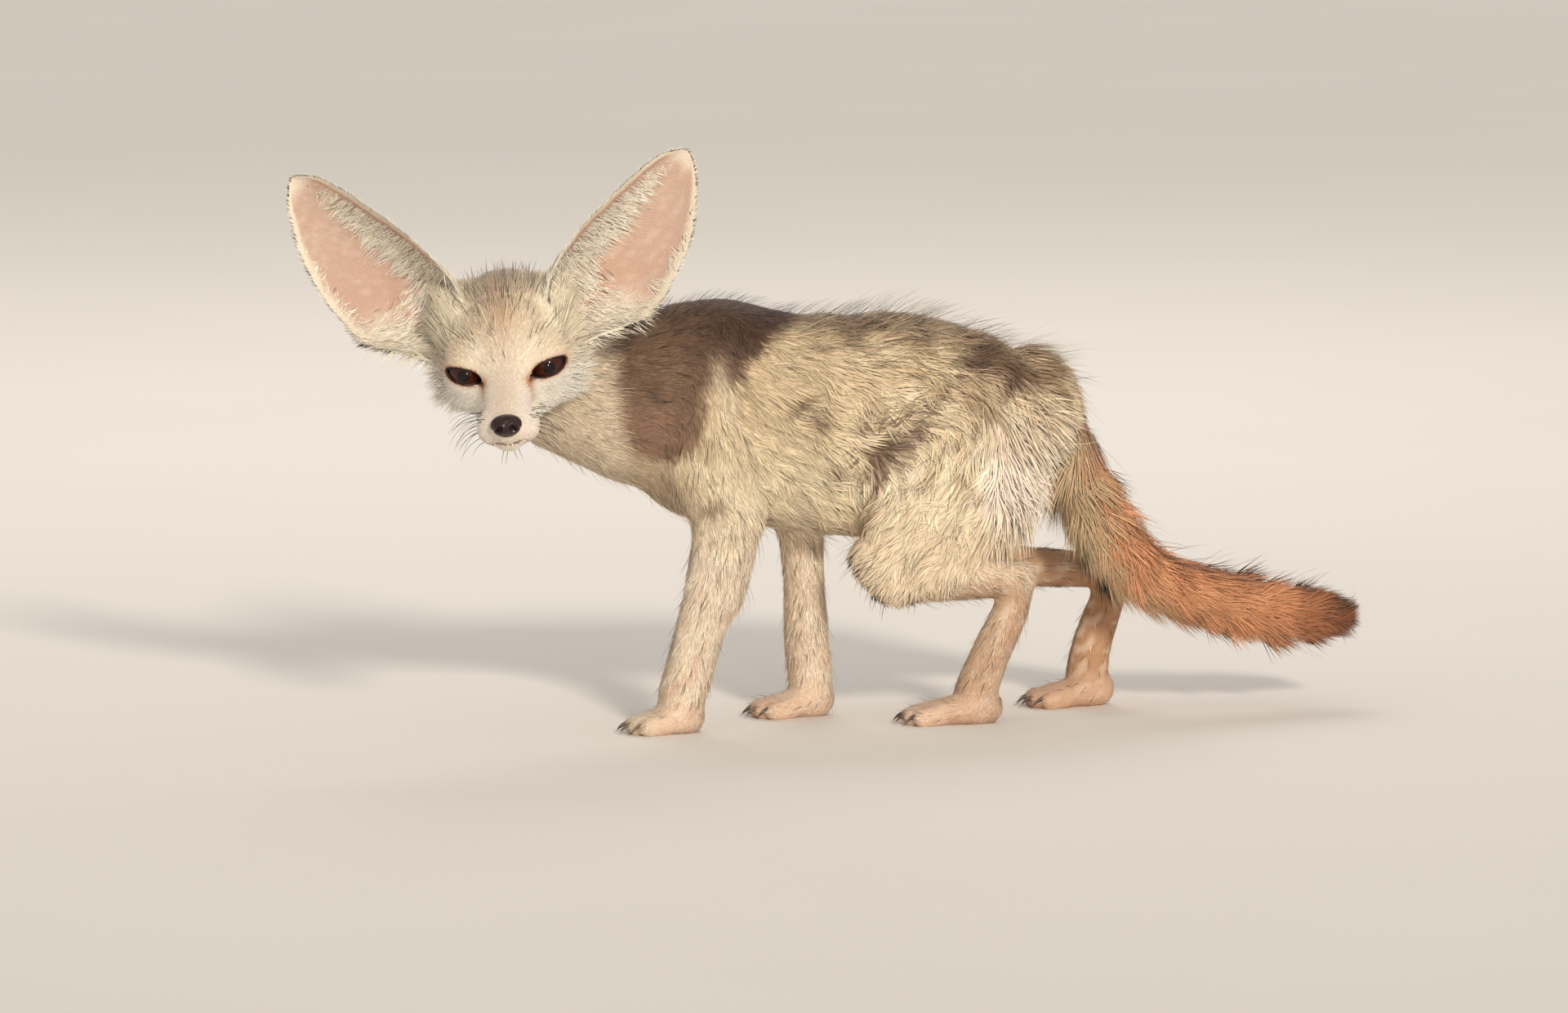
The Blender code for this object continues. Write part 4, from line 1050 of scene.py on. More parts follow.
def tail_colours(p, place, angle):
    """The tail: sand below its root, then rust, darker along the top and darkest at the end."""
    over = np.sin((angle - 0.5) * 2 * math.pi)
    fleck = ripple(p, 14, 21)
    return layered(
        (190, 160, 124), p,
        ((216, 190, 152), fade(-over, -0.2, 0.8) * 0.6),
        ((134, 106, 82), fade(-fleck, 0.4, 1.4) * fade(place, 0.5, 0.2) * 0.6),
        ((206, 140, 98), fade(place + 0.22 * over, 0.22, 0.5) * 0.95),
        ((216, 164, 120), fade(place, 0.3, 0.5) * fade(fleck, 0.1, 1.3) * 0.5),
        ((128, 74, 46), fade(over, 0.72, 1.0) * fade(place, 0.10, 0.24) * 0.75),
        ((140, 86, 56), fade(place + 0.02 * fleck, 0.72, 0.9) * 0.85),
        ((96, 60, 42), fade(place + 0.12 * over + 0.02 * fleck, 0.88, 1.03) * 0.9))


def from_ear_foot(local, root):
    """How far points of the head's frame are from the foot of an ear."""
    return np.linalg.norm((local - (root[0] * 1.05, -30, 20)) * (1, 0.6, 1), axis=1)


def round_eye_of(p, sign):
    """Points round one eye: 1 on the lids' edge, then how far before its centre and how far from it."""
    centre, axes = eye_frame(sign)
    a, c, b = ((p - centre) @ axes.T).T
    return np.hypot(a / LID_OPENING[0], b / (LID_OPENING[1] + 0.6)), c, np.linalg.norm(p - centre, axis=1)


def head_colours(p):
    """The face: cream, white on the cheeks and chin, sandy on the forehead, grey between the ears."""
    local = to_head(p)
    s, f, u = local.T
    fleck = ripple(p, 5, 31)
    blot = ripple(p, 15, 32)
    wide = np.abs(s)
    # A rusty streak runs down beside the bridge from each eye's inner corner.
    share = np.clip((-2.4 - u) / 10, 0, 1)
    gap = np.hypot(wide - 10.0 + 0.7 * share, u + 2.4 + 10 * share)
    streak = bell(gap, 0, 2.0 - 0.5 * share) * (1.0 - 0.6 * share) * fade(f, -8, -3) * fade(f, 17, 8)
    colour = layered(
        (234, 218, 193), p,
        ((218, 194, 163), fade(u, 0, 12) * fade(f, 12, -6) * 0.75),
        ((190, 152, 116), bell(s, 0, 3.2 + 0.1 * np.maximum(u, 0)) * fade(u, 0, 10) * 0.6),
        ((170, 152, 130), fade(u + 2 * blot, 24, 34) * 0.75),
        ((128, 110, 94), fade(u + 3 * fleck, 31, 44) * 0.55),
        *((EAR_FOOT, fade(from_ear_foot(local, root), 21, 11) * 0.9) for root, _, _ in EARS.values()),
        ((226, 205, 184), bell(s, 0, 6.5) * fade(f, -8, 4) * fade(u, -13, -6) * 0.85),
        (WHITE, fade(u, 3, -7) * fade(wide, 7, 14) * 0.95),
        ((240, 222, 209), fade(f, 8, 20) * fade(wide, 3.5, 7) * 0.7),
        (WHITE, fade(u, -17, -24) * 0.8),
        ((238, 222, 200), bell(wide, 12, 5) * bell(u, 10, 4) * fade(f, -22, -8) * 0.7),
        # Painted shade on the outer edge of the right cheek only.
        ((178, 164, 148), fade(wide, 25, 32) * bell(u, -8, 12) * fade(-s, 0, 10) * 0.7),
        ((178, 112, 78), streak))
    for sign in (1, -1):
        round_eye, before, _ = round_eye_of(p, sign)
        colour = painted(colour, (84, 44, 32), fade(round_eye, 1.16, 1.04) * (before > 0))
        colour = painted(colour, (214, 168, 136), bell(round_eye, 1.26, 0.12) * (before > 0) * 0.5)
    return painted(colour, (206, 178, 166), bell(u, -21.5, 1.3) * fade(f, 6, 14) * 0.55)


def ear_colours(p, leaf):
    """The ears: sandy behind, bare and pink in the cup, cream along the rim and at the foot."""
    share, across, kind = leaf.T
    fleck = ripple(p, 6, 41)
    front = kind > 0
    inside = front * fade(np.abs(across), 0.93, 0.78)
    rim = fade(np.abs(across), 0.86, 0.96) + 0.8 * fade(share, 0.9, 0.98)
    foot = fade(share, 0.16, 0.05) * (kind < 0)
    return layered(
        (214, 190, 158), p,
        ((196, 168, 136), fade(share, 0.9, 0.3) * 0.5 + 0.15 * fleck),
        ((234, 216, 190), front),
        (PINK, inside),
        ((208, 166, 144), inside * fade(share, 0.75, 0.25) * 0.5),
        ((226, 200, 180), inside * fade(fleck, 0.1, 1.2) * 0.5),
        ((186, 138, 118), inside * bell(across, -0.82, 0.10) * 0.6),
        ((168, 116, 98), inside * fade(share, 0.2, 0.02) * 0.6),
        ((236, 221, 197), fade(share, 0.36, 0.18) * fade(across, 0.25, 0.6) * front),
        ((240, 227, 204), rim + foot))


def ear_way(kind):
    """One ear's ways from foot to tip and from inner to outer edge, and the way that it opens."""
    _, _, axis, facing, outer = ear_frame(list(EARS)[int(kind) - 1])
    return axis @ HEAD_AXES, outer @ HEAD_AXES, facing @ HEAD_AXES


def vectors_of(data, field):
    values = np.empty(len(data) * 3, np.float32)
    data.foreach_get(field, values)
    return values.reshape(-1, 3).astype(float)


def forms_near(p):
    """For each point and form: the distance, the place along the form and round it, and its direction."""
    count = len(GROUPS) + 1
    gap = np.full((len(p), count), FAR_OFF)
    place = np.zeros((len(p), count))
    angle = np.zeros((len(p), count))
    ways = np.zeros((len(p), count, 3))
    for k, (_, form) in enumerate(GROUPS):
        near = np.maximum(np.maximum(form.low - p, p - form.high), 0).max(1) < 8
        if near.any():
            place[near, k], angle[near, k], gap[near, k], ways[near, k] = form.locate(p[near])
    gap[:, -1] = np.concatenate([head_distance(q) for q in np.array_split(p, 8)])
    local = to_head(p)
    turned = local - (0, -20, 0)
    place[:, -1] = np.arccos(np.clip(turned[:, 1] / np.linalg.norm(turned, axis=1), -1, 1)) / math.pi
    angle[:, -1] = np.arctan2(turned[:, 0], turned[:, 2]) / (2 * math.pi) + 0.5
    from_nose = local - (0, 42, -10)
    to_cheeks = (local[:, :1] * (0.5, 0, -0.6)) * np.sign(local[:, :1]) * (local[:, 2:] < 4)
    ways[:, -1] = unit(from_nose + to_cheeks) @ HEAD_AXES
    return gap, place, angle, ways


class Coat:
    """What the coat does at each point of the skin: its lie, length, lift, cover and colour."""

    def __init__(self, skin):
        self.point = points_of(skin.data)
        self.normal = vectors_of(skin.data.vertices, "normal")
        self.leaf = vectors_of(skin.data.attributes["leaf"].data, "vector")
        self.on_leaf = np.abs(self.leaf[:, 2]) > 0.6
        gap, self.place, self.angle, ways = forms_near(self.point)
        self.weight = np.exp(-np.maximum(gap - gap.min(1, keepdims=True), 0) / GROUP_BLEND)
        self.weight /= self.weight.sum(1, keepdims=True)
        self.blend(ways)
        self.groom_body()
        self.groom_head()
        self.clear_the_bare()
        self.groom_ears()
        self.flow -= (self.flow * self.normal).sum(1, keepdims=True) * self.normal
        self.group = gap.argmin(1)
        self.group[self.on_leaf] = len(GROUPS) + 1

    def blend(self, ways):
        """Each form's own coat, run into its neighbours'."""
        p = self.point
        values = np.zeros((len(p), 3))
        self.flow = np.zeros((len(p), 3))
        self.colour = np.zeros((len(p), 3))
        body = body_colours(p)
        for k, name in enumerate(GROUP_NAMES[:-1]):
            lengths, lift, cover = COATS[name]
            w = self.weight[:, k:k + 1]
            along = np.interp(self.place[:, k], np.linspace(0, 1, len(lengths)), lengths)
            values += w * np.column_stack([along, np.full(len(p), lift), np.full(len(p), cover)])
            way = ways[:, k] * (-1 if name == "neck" else 1)
            if name == "trunk":
                sides = fade(p[:, 2:], 196, 160) * (1 - 0.5 * fade(p[:, 2:], 105, 92))
                way = way + np.array([0, 0, -0.55]) * sides
            self.flow += w * way
            if name == "tail":
                shade = tail_colours(p, self.place[:, k], self.angle[:, k])
            elif name == "head":
                shade = head_colours(p)
            elif name in LEGS:
                shade = leg_colours(p)
            else:
                shade = body
            self.colour += w * shade
        self.length, self.lift, self.cover = values.T

    def groom_body(self):
        x, y, z = self.point.T
        # The short summer patch over neck, withers and shoulder.
        short = fade(x - np.interp(z, PATCH_HEIGHTS, PATCH_EDGE), 8, -8) * fade(z, 112, 128)
        self.length *= 1 - 0.25 * (short * (1 - self.weight[:, -1]))
        # The breeches at the back of the thighs and the fold before the knee are long.
        breech = fade(x, 86, 102) * fade(z, 76, 90) * fade(z, 164, 144) * (1 - fade(x, 118, 126))
        knee = bell(x, 30, 14) * bell(z, 90, 16) * fade(y, 0, -20)
        far = fade(y, 0, 12)
        # Hair on the inner side of the thighs lies flat.
        inner = fade(self.normal[:, 1] * np.sign(y + 4), 0.1, -0.35) * fade(x, 76, 88) * fade(z, 124, 108)
        breech = breech * (1 - inner)
        self.length *= 1 + (0.75 - 0.6 * far) * breech + 0.35 * knee - 0.5 * inner
        self.lift = self.lift * (1 - 0.8 * inner)
        self.lift = self.lift + (10 - 14 * far) * breech + 10 * knee
        # Painted shade: the breech of the far thigh is painted darker.
        self.colour = painted(self.colour, (190, 152, 116), far * breech * fade(z, 120, 100) * 0.7)
        # The tail's root is loose and wide below.
        k = GROUP_NAMES.index("tail")
        under = fade(np.sin((0.5 - self.angle[:, k]) * 2 * math.pi), 0.0, 0.7)
        loose = self.weight[:, k] * fade(self.place[:, k], 0.42, 0.15) * under
        self.lift = self.lift + 22 * loose
        self.length = self.length + 5 * loose
        self.flow += breech[:, None] * np.array([1.1, 0, -0.2]) + knee[:, None] * np.array([-0.5, 0, -0.6])
        # The whorl on the left flank.
        near = fade(y, 0, -12) * bell(np.hypot(x - WHORL[0], z - WHORL[1]), 0, 15)
        outwards = np.column_stack([x - WHORL[0], 0 * y, z - WHORL[1]]) + (0.01, 0, 0)
        self.flow += near[:, None] * 1.6 * unit(outwards)

    def groom_head(self):
        """Shortest at the muzzle, longest on the cheeks, and swept up before the ears."""
        local = to_head(self.point)
        s, f, u = local.T
        here = self.weight[:, -1] * ~self.on_leaf
        ruff = fade(np.abs(s), 19, 28) * fade(u, 22, 8) * fade(f, 2, -14)
        scale = 1 - 0.55 * fade(f, -4, 26) + 2.2 * ruff
        scale += 0.45 * fade(u, 20, 32)
        self.lit = self.normal + (0.45 * here * fade(u, 10, -4))[:, None] * HEAD_AXES[1]
        for root, _, _ in EARS.values():
            away = from_ear_foot(local, root)
            scale += 1.3 * fade(away, 18, 9)
            sweep = fade(away, 19, 9) * here
            axis, _, facing = ear_way(1 if root[0] > 0 else 2)
            self.flow = self.flow * (1 - sweep)[:, None] + (axis + 0.25 * facing) * sweep[:, None]
            self.lit = self.lit + (1.1 * sweep)[:, None] * facing
            # Painted light: the temples before the ears are painted brighter than their own cream.
            self.colour = painted(self.colour, (246, 227, 196), sweep * fade(f, -44, -30) * 0.6)
        self.length = self.length * (1 - here) + self.length * scale * here
        self.lift += here * (12 * fade(u, 20, 34) + 36 * ruff + 6 * fade(f, 20, 34))
        # The cheeks' pale fur runs on over the nearest of the neck.
        beside = fade(np.abs(s), 50, 40) * fade(u, 22, 8) * fade(f, -92, -66) * (1 - self.weight[:, -1])
        self.colour = painted(self.colour, (226, 206, 178), beside * 0.85)

    def clear_the_bare(self):
        """Hair is shortest round the eyes. None grows on the lids, under the nose pad or on the soles."""
        for sign in (1, -1):
            round_eye, before, away = round_eye_of(self.point, sign)
            front = (before > 0) & (away < 22)
            short = np.minimum(self.length, 1.3 + 2.6 * fade(round_eye, 1.0, 2.2))
            self.length = np.where(front, short, self.length)
            self.cover = np.where(front & (round_eye < 1.06), 0, self.cover)
        self.cover = np.where(Ball(NOSE, -1.2).distance(self.point) < 0, 0, self.cover)
        self.cover = np.where(self.point[:, 2] < 0.7, 0, self.cover)

    def groom_ears(self):
        """Short hair over the backs, a bare cup, and the rim's own edge of hair."""
        leaf = self.leaf
        self.colour[self.on_leaf] = ear_colours(self.point[self.on_leaf], leaf[self.on_leaf])
        for kind in (1, 2):
            axis, outer, _ = ear_way(kind)
            for side in (1, -1):
                mine = self.on_leaf & (np.sign(leaf[:, 2]) == side) & (np.round(np.abs(leaf[:, 2])) == kind)
                share, across = leaf[mine, 0], leaf[mine, 1]
                wide = np.abs(across)
                bare = fade(wide, 0.9, 0.78) * fade(share, 0.97, 0.9) * (side > 0)
                bare = bare * (1 - fade(share, 0.36, 0.2) * fade(across, 0.25, 0.6))
                self.cover[mine] = 2.4 * (1 - bare) + 0.12 * bare
                # The loose pale skirt below the outer edge.
                skirt = fade(share, 0.38, 0.2) * fade(across, 0.45, 0.8)
                hair = EAR_HAIR * (1 + 1.3 * fade(share, 0.34, 0.06)) * (1 - 0.35 * fade(share, 0.8, 1.0))
                self.length[mine] = hair + 3 * skirt
                self.lift[mine] = 14 + 10 * fade(wide, 0.9, 1.0) + 3 * skirt
                swing = skirt[:, None] * (1.6 * outer - 1.3 * axis)
                self.flow[mine] = across[:, None] * outer * 0.5 + axis + swing
                self.place[mine, -1] = share
                turn = wide * np.sign(across) * 0.48 + 0.5
                self.angle[mine, -1] = 0.25 * turn + 0.25 * (2 * (kind - 1) + (side < 0))

    def table(self):
        """What the coat does, as named columns. The place and angle are those on a point's own form."""
        row = np.arange(len(self.point))
        where = np.minimum(self.group, len(GROUPS))
        return {"point": self.point, "normal": self.normal, "flow": unit(self.flow), "length": self.length,
                "lift": self.lift, "cover": self.cover, "colour": np.clip(self.colour, 0, 255),
                "group": self.group, "place": self.place[row, where], "angle": self.angle[row, where],
                "leaf": self.leaf, "lit": unit(self.lit)}


def width_of(length, widest=WIDEST_TUFT):
    return np.minimum(0.3 + 0.052 * length, widest)


def corners_of(mesh):
    mesh.calc_loop_triangles()
    corners = np.empty(len(mesh.loop_triangles) * 3, np.int32)
    mesh.loop_triangles.foreach_get("vertices", corners)
    return corners.reshape(-1, 3)


def roots_on(over, corners, density, seed):
    """Random places on the skin, as many on each face as the density asks for, with what holds there."""
    draws = np.random.default_rng(seed)
    a, b, c = (over["point"][corners[:, i]] for i in range(3))
    area = np.linalg.norm(np.cross(b - a, c - a), axis=1) / 2
    wanted = area * density[corners].mean(1) * SPARSE
    number = np.floor(wanted + draws.random(len(wanted))).astype(int)
    which = np.repeat(np.arange(len(corners)), number)
    r, t = draws.random((2, len(which)))
    turned = r + t > 1
    r, t = np.where(turned, 1 - r, r), np.where(turned, 1 - t, t)
    share = np.stack([1 - r - t, r, t], axis=1)
    found = {}
    first = corners[which, np.argmax(share, axis=1)]
    for name, value in over.items():
        if name in ("group", "place", "angle"):
            found[name] = value[first]
        else:
            mixed = value[corners[which]]
            found[name] = (mixed * (share if value.ndim == 1 else share[..., None])).sum(1)
    found["normal"] = unit(found["normal"])
    found["flow"] = unit(found["flow"])
    return found


def turned_by(way, normal, degrees):
    angle = np.radians(degrees)[:, None]
    return way * np.cos(angle) + np.cross(normal, way) * np.sin(angle)


def clumped(roots, way, tufts, strength, seed):
    """How far each tip moves, so that about that many neighbouring tufts draw together into a lock."""
    draws = np.random.default_rng(seed)
    p = roots["point"]
    middles = draws.choice(len(p), max(1, int(len(p) / tufts)), replace=False)
    tree = KDTree(len(middles))
    for i, middle in enumerate(middles):
        tree.insert(p[middle], i)
    tree.balance()
    mine = middles[[tree.find(q)[1] for q in p]]
    tips = p + way * roots["length"][:, None]
    wander = draws.normal(size=(len(p), 3)) * 0.4
    return (tips[mine] + wander - tips) * strength


RING_PLACES = {1: (0.0,), 2: (0.0, 0.42), 3: (0.0, 0.3, 0.66)}
RING_WIDTHS = {1: (1.0,), 2: (0.7, 1.0), 3: (0.6, 1.0, 0.75)}
PATCH = 0.003  # how far across the bake map a tuft's patch goes


def tuft_faces(rings):
    """The triangles of one three-sided tuft: its foot, the walls between its rings, and its point."""
    faces = [(0, 2, 1)]
    for k in range(rings - 1):
        for i in range(3):
            a, b = 3 * k + i, 3 * k + (i + 1) % 3
            faces += [(a, b, b + 3), (a, b + 3, a + 3)]
    last = 3 * (rings - 1)
    return np.array(faces + [(last + i, last + (i + 1) % 3, 3 * rings) for i in range(3)])


def lay_tufts(name, roots, way, width, rings, end_lift, shift=None, root_shade=0.94, seed=3, jitter=0.06):
    """Closed three-sided tapered tufts, one from each root, as one piece with colours and a bake map."""
    draws = np.random.default_rng(seed)
    count = len(roots["point"])
    normal = roots["normal"]
    side = np.cross(normal, way)
    length = roots["length"] * draws.uniform(0.75, 1.2, count)
    lift = np.radians(roots["lift"] + draws.normal(0, 5, count))[:, None]
    end = np.radians(end_lift + 0.8 * np.maximum(roots["lift"] - 26, 0))[:, None]
    first = way * np.cos(lift) + normal * np.sin(lift)
    last = way * np.cos(end) + normal * np.sin(end)
    shift = np.zeros((count, 3)) if shift is None else shift
    start = roots["point"] - normal * ROOT_DEPTH
    wide = (width * draws.uniform(0.8, 1.2, count))[:, None]
    reach = length[:, None]
    layers = []
    for k, s in enumerate([*RING_PLACES[rings], 1.0]):
        centre = start + reach * (first * s + (last - first) * s * s / 2) + shift * s * s
        if k == rings:
            layers.append(centre[:, None])
            continue
        w = wide * RING_WIDTHS[rings][k]
        corners = [centre - side * w / 2, centre + side * w / 2, centre + normal * w * TUFT_DEPTH]
        layers.append(np.stack(corners, axis=1))
    points = kept_in_box(np.concatenate(layers, axis=1))
    faces = tuft_faces(rings)
    a, b, c = (points[:, faces[:, i]] - start[:, None] for i in range(3))
    if np.einsum("nfi,nfi->", a, np.cross(b, c)) < 0:
        faces = faces[:, ::-1]
    triangles = (faces[None] + np.arange(count)[:, None, None] * points.shape[1]).reshape(-1, 3)
    mesh = mesh_of_arrays(name, points.reshape(-1, 3), triangles)
    along = np.concatenate([np.repeat(RING_PLACES[rings], 3), [1.0]])
    # Each tuft is painted darker at its root and a little lighter at its tip: painted shade among the hairs
    # and painted light on their ends.
    shade_along_tuft = root_shade + (1.06 - root_shade) * along ** 0.7
    vary = draws.normal(1.0, jitter, count)[:, None] * (1 + draws.normal(0, 0.012, (count, 3)))
    colour = linear(roots["colour"] * np.clip(vary, 0.75, 1.25))[:, None] * shade_along_tuft[None, :, None]
    mark(mesh, "coat", np.clip(colour, 0, 1).reshape(-1, 3))
    across = np.concatenate([np.tile([-0.5, 0.5, 0.0], rings), [0.0]])
    patch = np.stack([along, across], axis=1)[None] * PATCH
    spot = np.stack([roots["u"], roots["v"]], axis=1)[:, None] + patch
    corners = np.clip(spot.reshape(-1, 2)[triangles.ravel()], 0, 1).astype(np.float32)
    mesh.uv_layers.new(name="OFBake").data.foreach_set("uv", corners.ravel())
    mesh.shade_smooth()
    # Hair is lit as the body's surface is, with a little roundness of each tuft's own.
    lean = np.concatenate([np.tile([-0.4, 0.4, 0.0], rings), [0.0]])
    lit = unit(unit(roots["lit"])[:, None] + side[:, None] * lean[None, :, None])
    mesh.normals_split_custom_set_from_vertices(lit.reshape(-1, 3).astype(np.float32))
    return new_object(name, mesh)


def kept_in_box(points):
    """Tufts drawn back where they would pass the solids' box or the floor."""
    low = np.array(CAD_LOW) / MM + ORIGIN + (-1.5, -1.5, 0.15)
    high = np.array(CAD_HIGH) / MM + ORIGIN + (1.5, 1.5, 1.5)
    return np.clip(points, low, high)


def mesh_of_arrays(name, points, triangles):
    mesh = bpy.data.meshes.new(name)
    mesh.vertices.add(len(points))
    mesh.vertices.foreach_set("co", ((points - ORIGIN) * MM).astype(np.float32).ravel())
    mesh.loops.add(triangles.size)
    mesh.loops.foreach_set("vertex_index", triangles.astype(np.int32).ravel())
    mesh.polygons.add(len(triangles))
    mesh.polygons.foreach_set("loop_start", np.arange(len(triangles), dtype=np.int32) * 3)
    mesh.update(calc_edges=True)
    return mesh


def unwrapped(roots):
    """The bake map's place for each root: each form of the skin fills its own strip."""
    groups = np.unique(roots["group"])
    strip = np.searchsorted(groups, roots["group"])
    roots["u"] = 0.005 + 0.985 * np.clip(roots["place"], 0, 1)
    roots["v"] = (strip + 0.03 + 0.93 * np.clip(roots["angle"], 0, 1)) / len(groups)
    return roots


def chosen(roots, mask):
    return {name: value[mask] for name, value in roots.items()}


def lay_coat(skin):
    """The coat's pieces over body, legs, tail, head and ears, with its table and the skin's triangles."""
    over = Coat(skin).table()
    corners = corners_of(skin.data)
    length = over["length"]
    widest = np.array([WIDEST.get(name, WIDEST_TUFT) for name in GROUP_NAMES])
    # The far side's tufts are a little broader.
    over["width"] = width_of(length, widest[over["group"]]) * (1 + 0.2 * fade(over["point"][:, 1], 0, 20))
    density = over["cover"] / (0.5 * length * over["width"])
    roots = roots_on(over, corners, density, SEED + 1)
    names = np.array(GROUP_NAMES)[roots["group"]]
    swirl = 24 * ripple(roots["point"], 15, 51) * np.clip(roots["length"] / 12, 0.25, 1)
    stray = np.random.default_rng(SEED + 2).normal(0, 9, len(names))
    way = turned_by(roots["flow"], roots["normal"], swirl + stray)
    left = roots["point"][:, 1] < 0
    rear = roots["point"][:, 0] > 10
    body = np.isin(names, TRUNK_PARTS)
    legs = np.isin(names, LEGS)
    face_left = to_head(roots["point"])[:, 0] > 0
    head = names == "head"
    # Each piece: which roots it takes, its tufts' rings, and how far its tufts draw together into locks.
    parts = {
        "coat_flank_left": (body & left & rear, 2, 0.36),
        "coat_flank_right": (body & ~left & rear, 2, 0.36),
        "coat_shoulder_left": (body & left & ~rear, 1, 0.36),
        "coat_shoulder_right": (body & ~left & ~rear, 1, 0.36),
        "coat_legs_left": (legs & left, 1, 0), "coat_legs_right": (legs & ~left, 1, 0),
        "coat_tail": (names == "tail", 2, 0.2),
        "coat_face_left": (head & face_left, 1, 0), "coat_face_right": (head & ~face_left, 1, 0),
        "coat_ears": (names == "ear", 1, 0),
    }
    pieces = []
    for number, (name, (mask, rings, draw)) in enumerate(parts.items()):
        mine = unwrapped(chosen(roots, mask))
        shift = clumped(mine, way[mask], LOCK_TUFTS, draw, SEED + 10 + number) if draw else None
        end_lift = 0 if name == "coat_tail" else -4
        pieces.append(lay_tufts(name, mine, way[mask], mine["width"], rings, end_lift, shift,
                                seed=SEED + 20 + number, jitter=0.08 if rings == 1 else 0.05))
    mark(skin.data, "markings", linear(over["colour"] * 0.95))
    return pieces, over, corners


# Eyes, nose, mouth, whiskers and claws.


def onto_head(points):
    """Points of the head's frame drawn onto its surface, with the way outwards there."""
    p = from_head(points)
    for _ in range(8):
        value = head_distance(p)
        slope = np.stack([head_distance(p + 0.3 * axis) - value for axis in np.eye(3)], axis=1) / 0.3
        p = p - np.clip(value, -4, 4)[:, None] * unit(slope)
    return p, unit(slope)


def eyeball(name, sign):
    """A ball whose clear front, of a smaller radius, stands a little out of it."""
    centre, axes = eye_frame(sign)
    mesh = oval_mesh(centre, [EYE_RADIUS] * 3, axes[[0, 2, 1]], 64, 48)
    local = (points_of(mesh) - centre) @ axes.T
    side = np.hypot(local[:, 0], local[:, 2])
    front = local[:, 1] > 0
    ball = np.sqrt(np.maximum(EYE_RADIUS**2 - side**2, 0))
    cornea = CORNEA_PLACE + np.sqrt(np.maximum(CORNEA_RADIUS**2 - side**2, 0))
    local[:, 1] += np.maximum(cornea - ball, 0) * front * (side < 6.5)
    place_points(mesh, centre + local @ axes)
    mark(mesh, "ring", np.where(front, side / EYE_RADIUS, 1.0))
    mark(mesh, "ray", np.abs(np.arctan2(local[:, 2], local[:, 0])))
    outward(mesh)
    return smooth_object(name, mesh)


def smooth_object(name, mesh):
    mesh.shade_smooth()
    return new_object(name, mesh)


def ring_tube(centres, radius, count=10):
    """A closed ring of flesh along a loop of points."""
    centres = np.asarray(centres, float)
    along = unit(np.roll(centres, -1, axis=0) - np.roll(centres, 1, axis=0))
    out = unit(centres - centres.mean(0))
    over = unit(np.cross(along, out))
    out = np.cross(over, along)
    radius = np.broadcast_to(radius, len(centres))
    angle = np.arange(count) * 2 * math.pi / count
    rings = [c + r * (np.cos(angle)[:, None] * o + np.sin(angle)[:, None] * v)
             for c, r, o, v in zip(centres, radius, out, over)]
    faces = []
    for k in range(len(rings)):
        m = (k + 1) % len(rings)
        for i in range(count):
            j = (i + 1) % count
            faces.append((k * count + i, k * count + j, m * count + j, m * count + i))
    return outward(mesh_from(np.vstack(rings), faces, "ring"))


def lids(name):
    """The dark rims of both eyes, thicker above, with the moist inner corner."""
    meshes = []
    for sign in (1, -1):
        centre, axes = eye_frame(sign)
        line = lid_line(72)
        reach = np.sqrt((EYE_RADIUS + 0.35) ** 2 - (line ** 2).sum(1))
        rim = centre + line[:, :1] * axes[0] + line[:, 1:] * axes[2] + reach[:, None] * axes[1]
        meshes.append(ring_tube(rim, 0.30 + 0.12 * fade(line[:, 1], -1, 3)))
        corner = centre + axes[0] * -8.3 + axes[2] * -1.0 + axes[1] * math.sqrt(EYE_RADIUS**2 - 8.3**2 - 1)
        meshes.append(oval_mesh(corner, (1.6, 1.5, 0.8), axes, 20, 14))
    return smooth_object(name, joined(meshes))


def nose_leather(name):
    """The nose pad: broad above, narrow below, with two comma nostrils and the groove between them."""
    centre = from_head(NOSE[:3])
    mesh = oval_mesh(centre, NOSE[3:], HEAD_AXES, 96, 72)
    local = (points_of(mesh) - centre) @ HEAD_AXES.T
    s, f, u = local.T
    wide = 1 + 0.10 * np.clip(u / 5, -1, 1)
    local[:, 0] *= wide
    local[:, 1] = np.where(f > 0, f * (1 - 0.10 * (u < 0) * np.clip(-u / 5, 0, 1)), f)
    front = fade(f, 0.4, 2.0)
    away = np.abs(s)
    hole = np.hypot((away - 3.0) / 1.25, (u + 0.2) / 1.35)
    slit = np.hypot((away - 4.7) / 1.7, (u + 1.1 + 0.25 * (away - 4.7)) / 0.75)
    hollow_and_shade = np.maximum(np.exp(-hole**2), 0.9 * np.exp(-slit**2)) * fade(f, -1.2, 0.6)
    groove = np.exp(-(s / 0.5) ** 2) * fade(u, 1.6, -0.6) * front
    swell = 0.5 * np.exp(-((hole - 1.7) / 0.5) ** 2) * front
    local += unit(local / np.array(NOSE[3:]) ** 2) * (swell - 2.1 * hollow_and_shade - 0.7 * groove)[:, None]
    place_points(mesh, centre + local @ HEAD_AXES)
    # The nostrils' hollows and the groove are marked for painted shade on the leather.
    mark(mesh, "hollow_and_shade", np.clip(hollow_and_shade * 1.2 + groove * 0.6, 0, 1))
    return smooth_object(name, mesh)


def mouth_line(name):
    """The dark edges of the lips along the mouth."""
    line = smooth_rows(MOUTH_LINE, 6)
    line = np.vstack([line, (line * (-1, 1, 1))[-2::-1]])
    centres, out = onto_head(line + (0, 0, -0.15))
    centres = centres - out * 0.45
    along = unit(np.gradient(centres, axis=0))
    angle = np.arange(8) * math.pi / 4
    rings = []
    for c, o, a, t in zip(centres, out, along, np.linspace(-1, 1, len(centres))):
        radius = 0.62 * (1 - abs(t) ** 6) + 0.08
        over = np.cross(a, o)
        rings.append(c + radius * (np.cos(angle)[:, None] * o + np.sin(angle)[:, None] * 0.7 * over))
    return smooth_object(name, tube_mesh(rings))


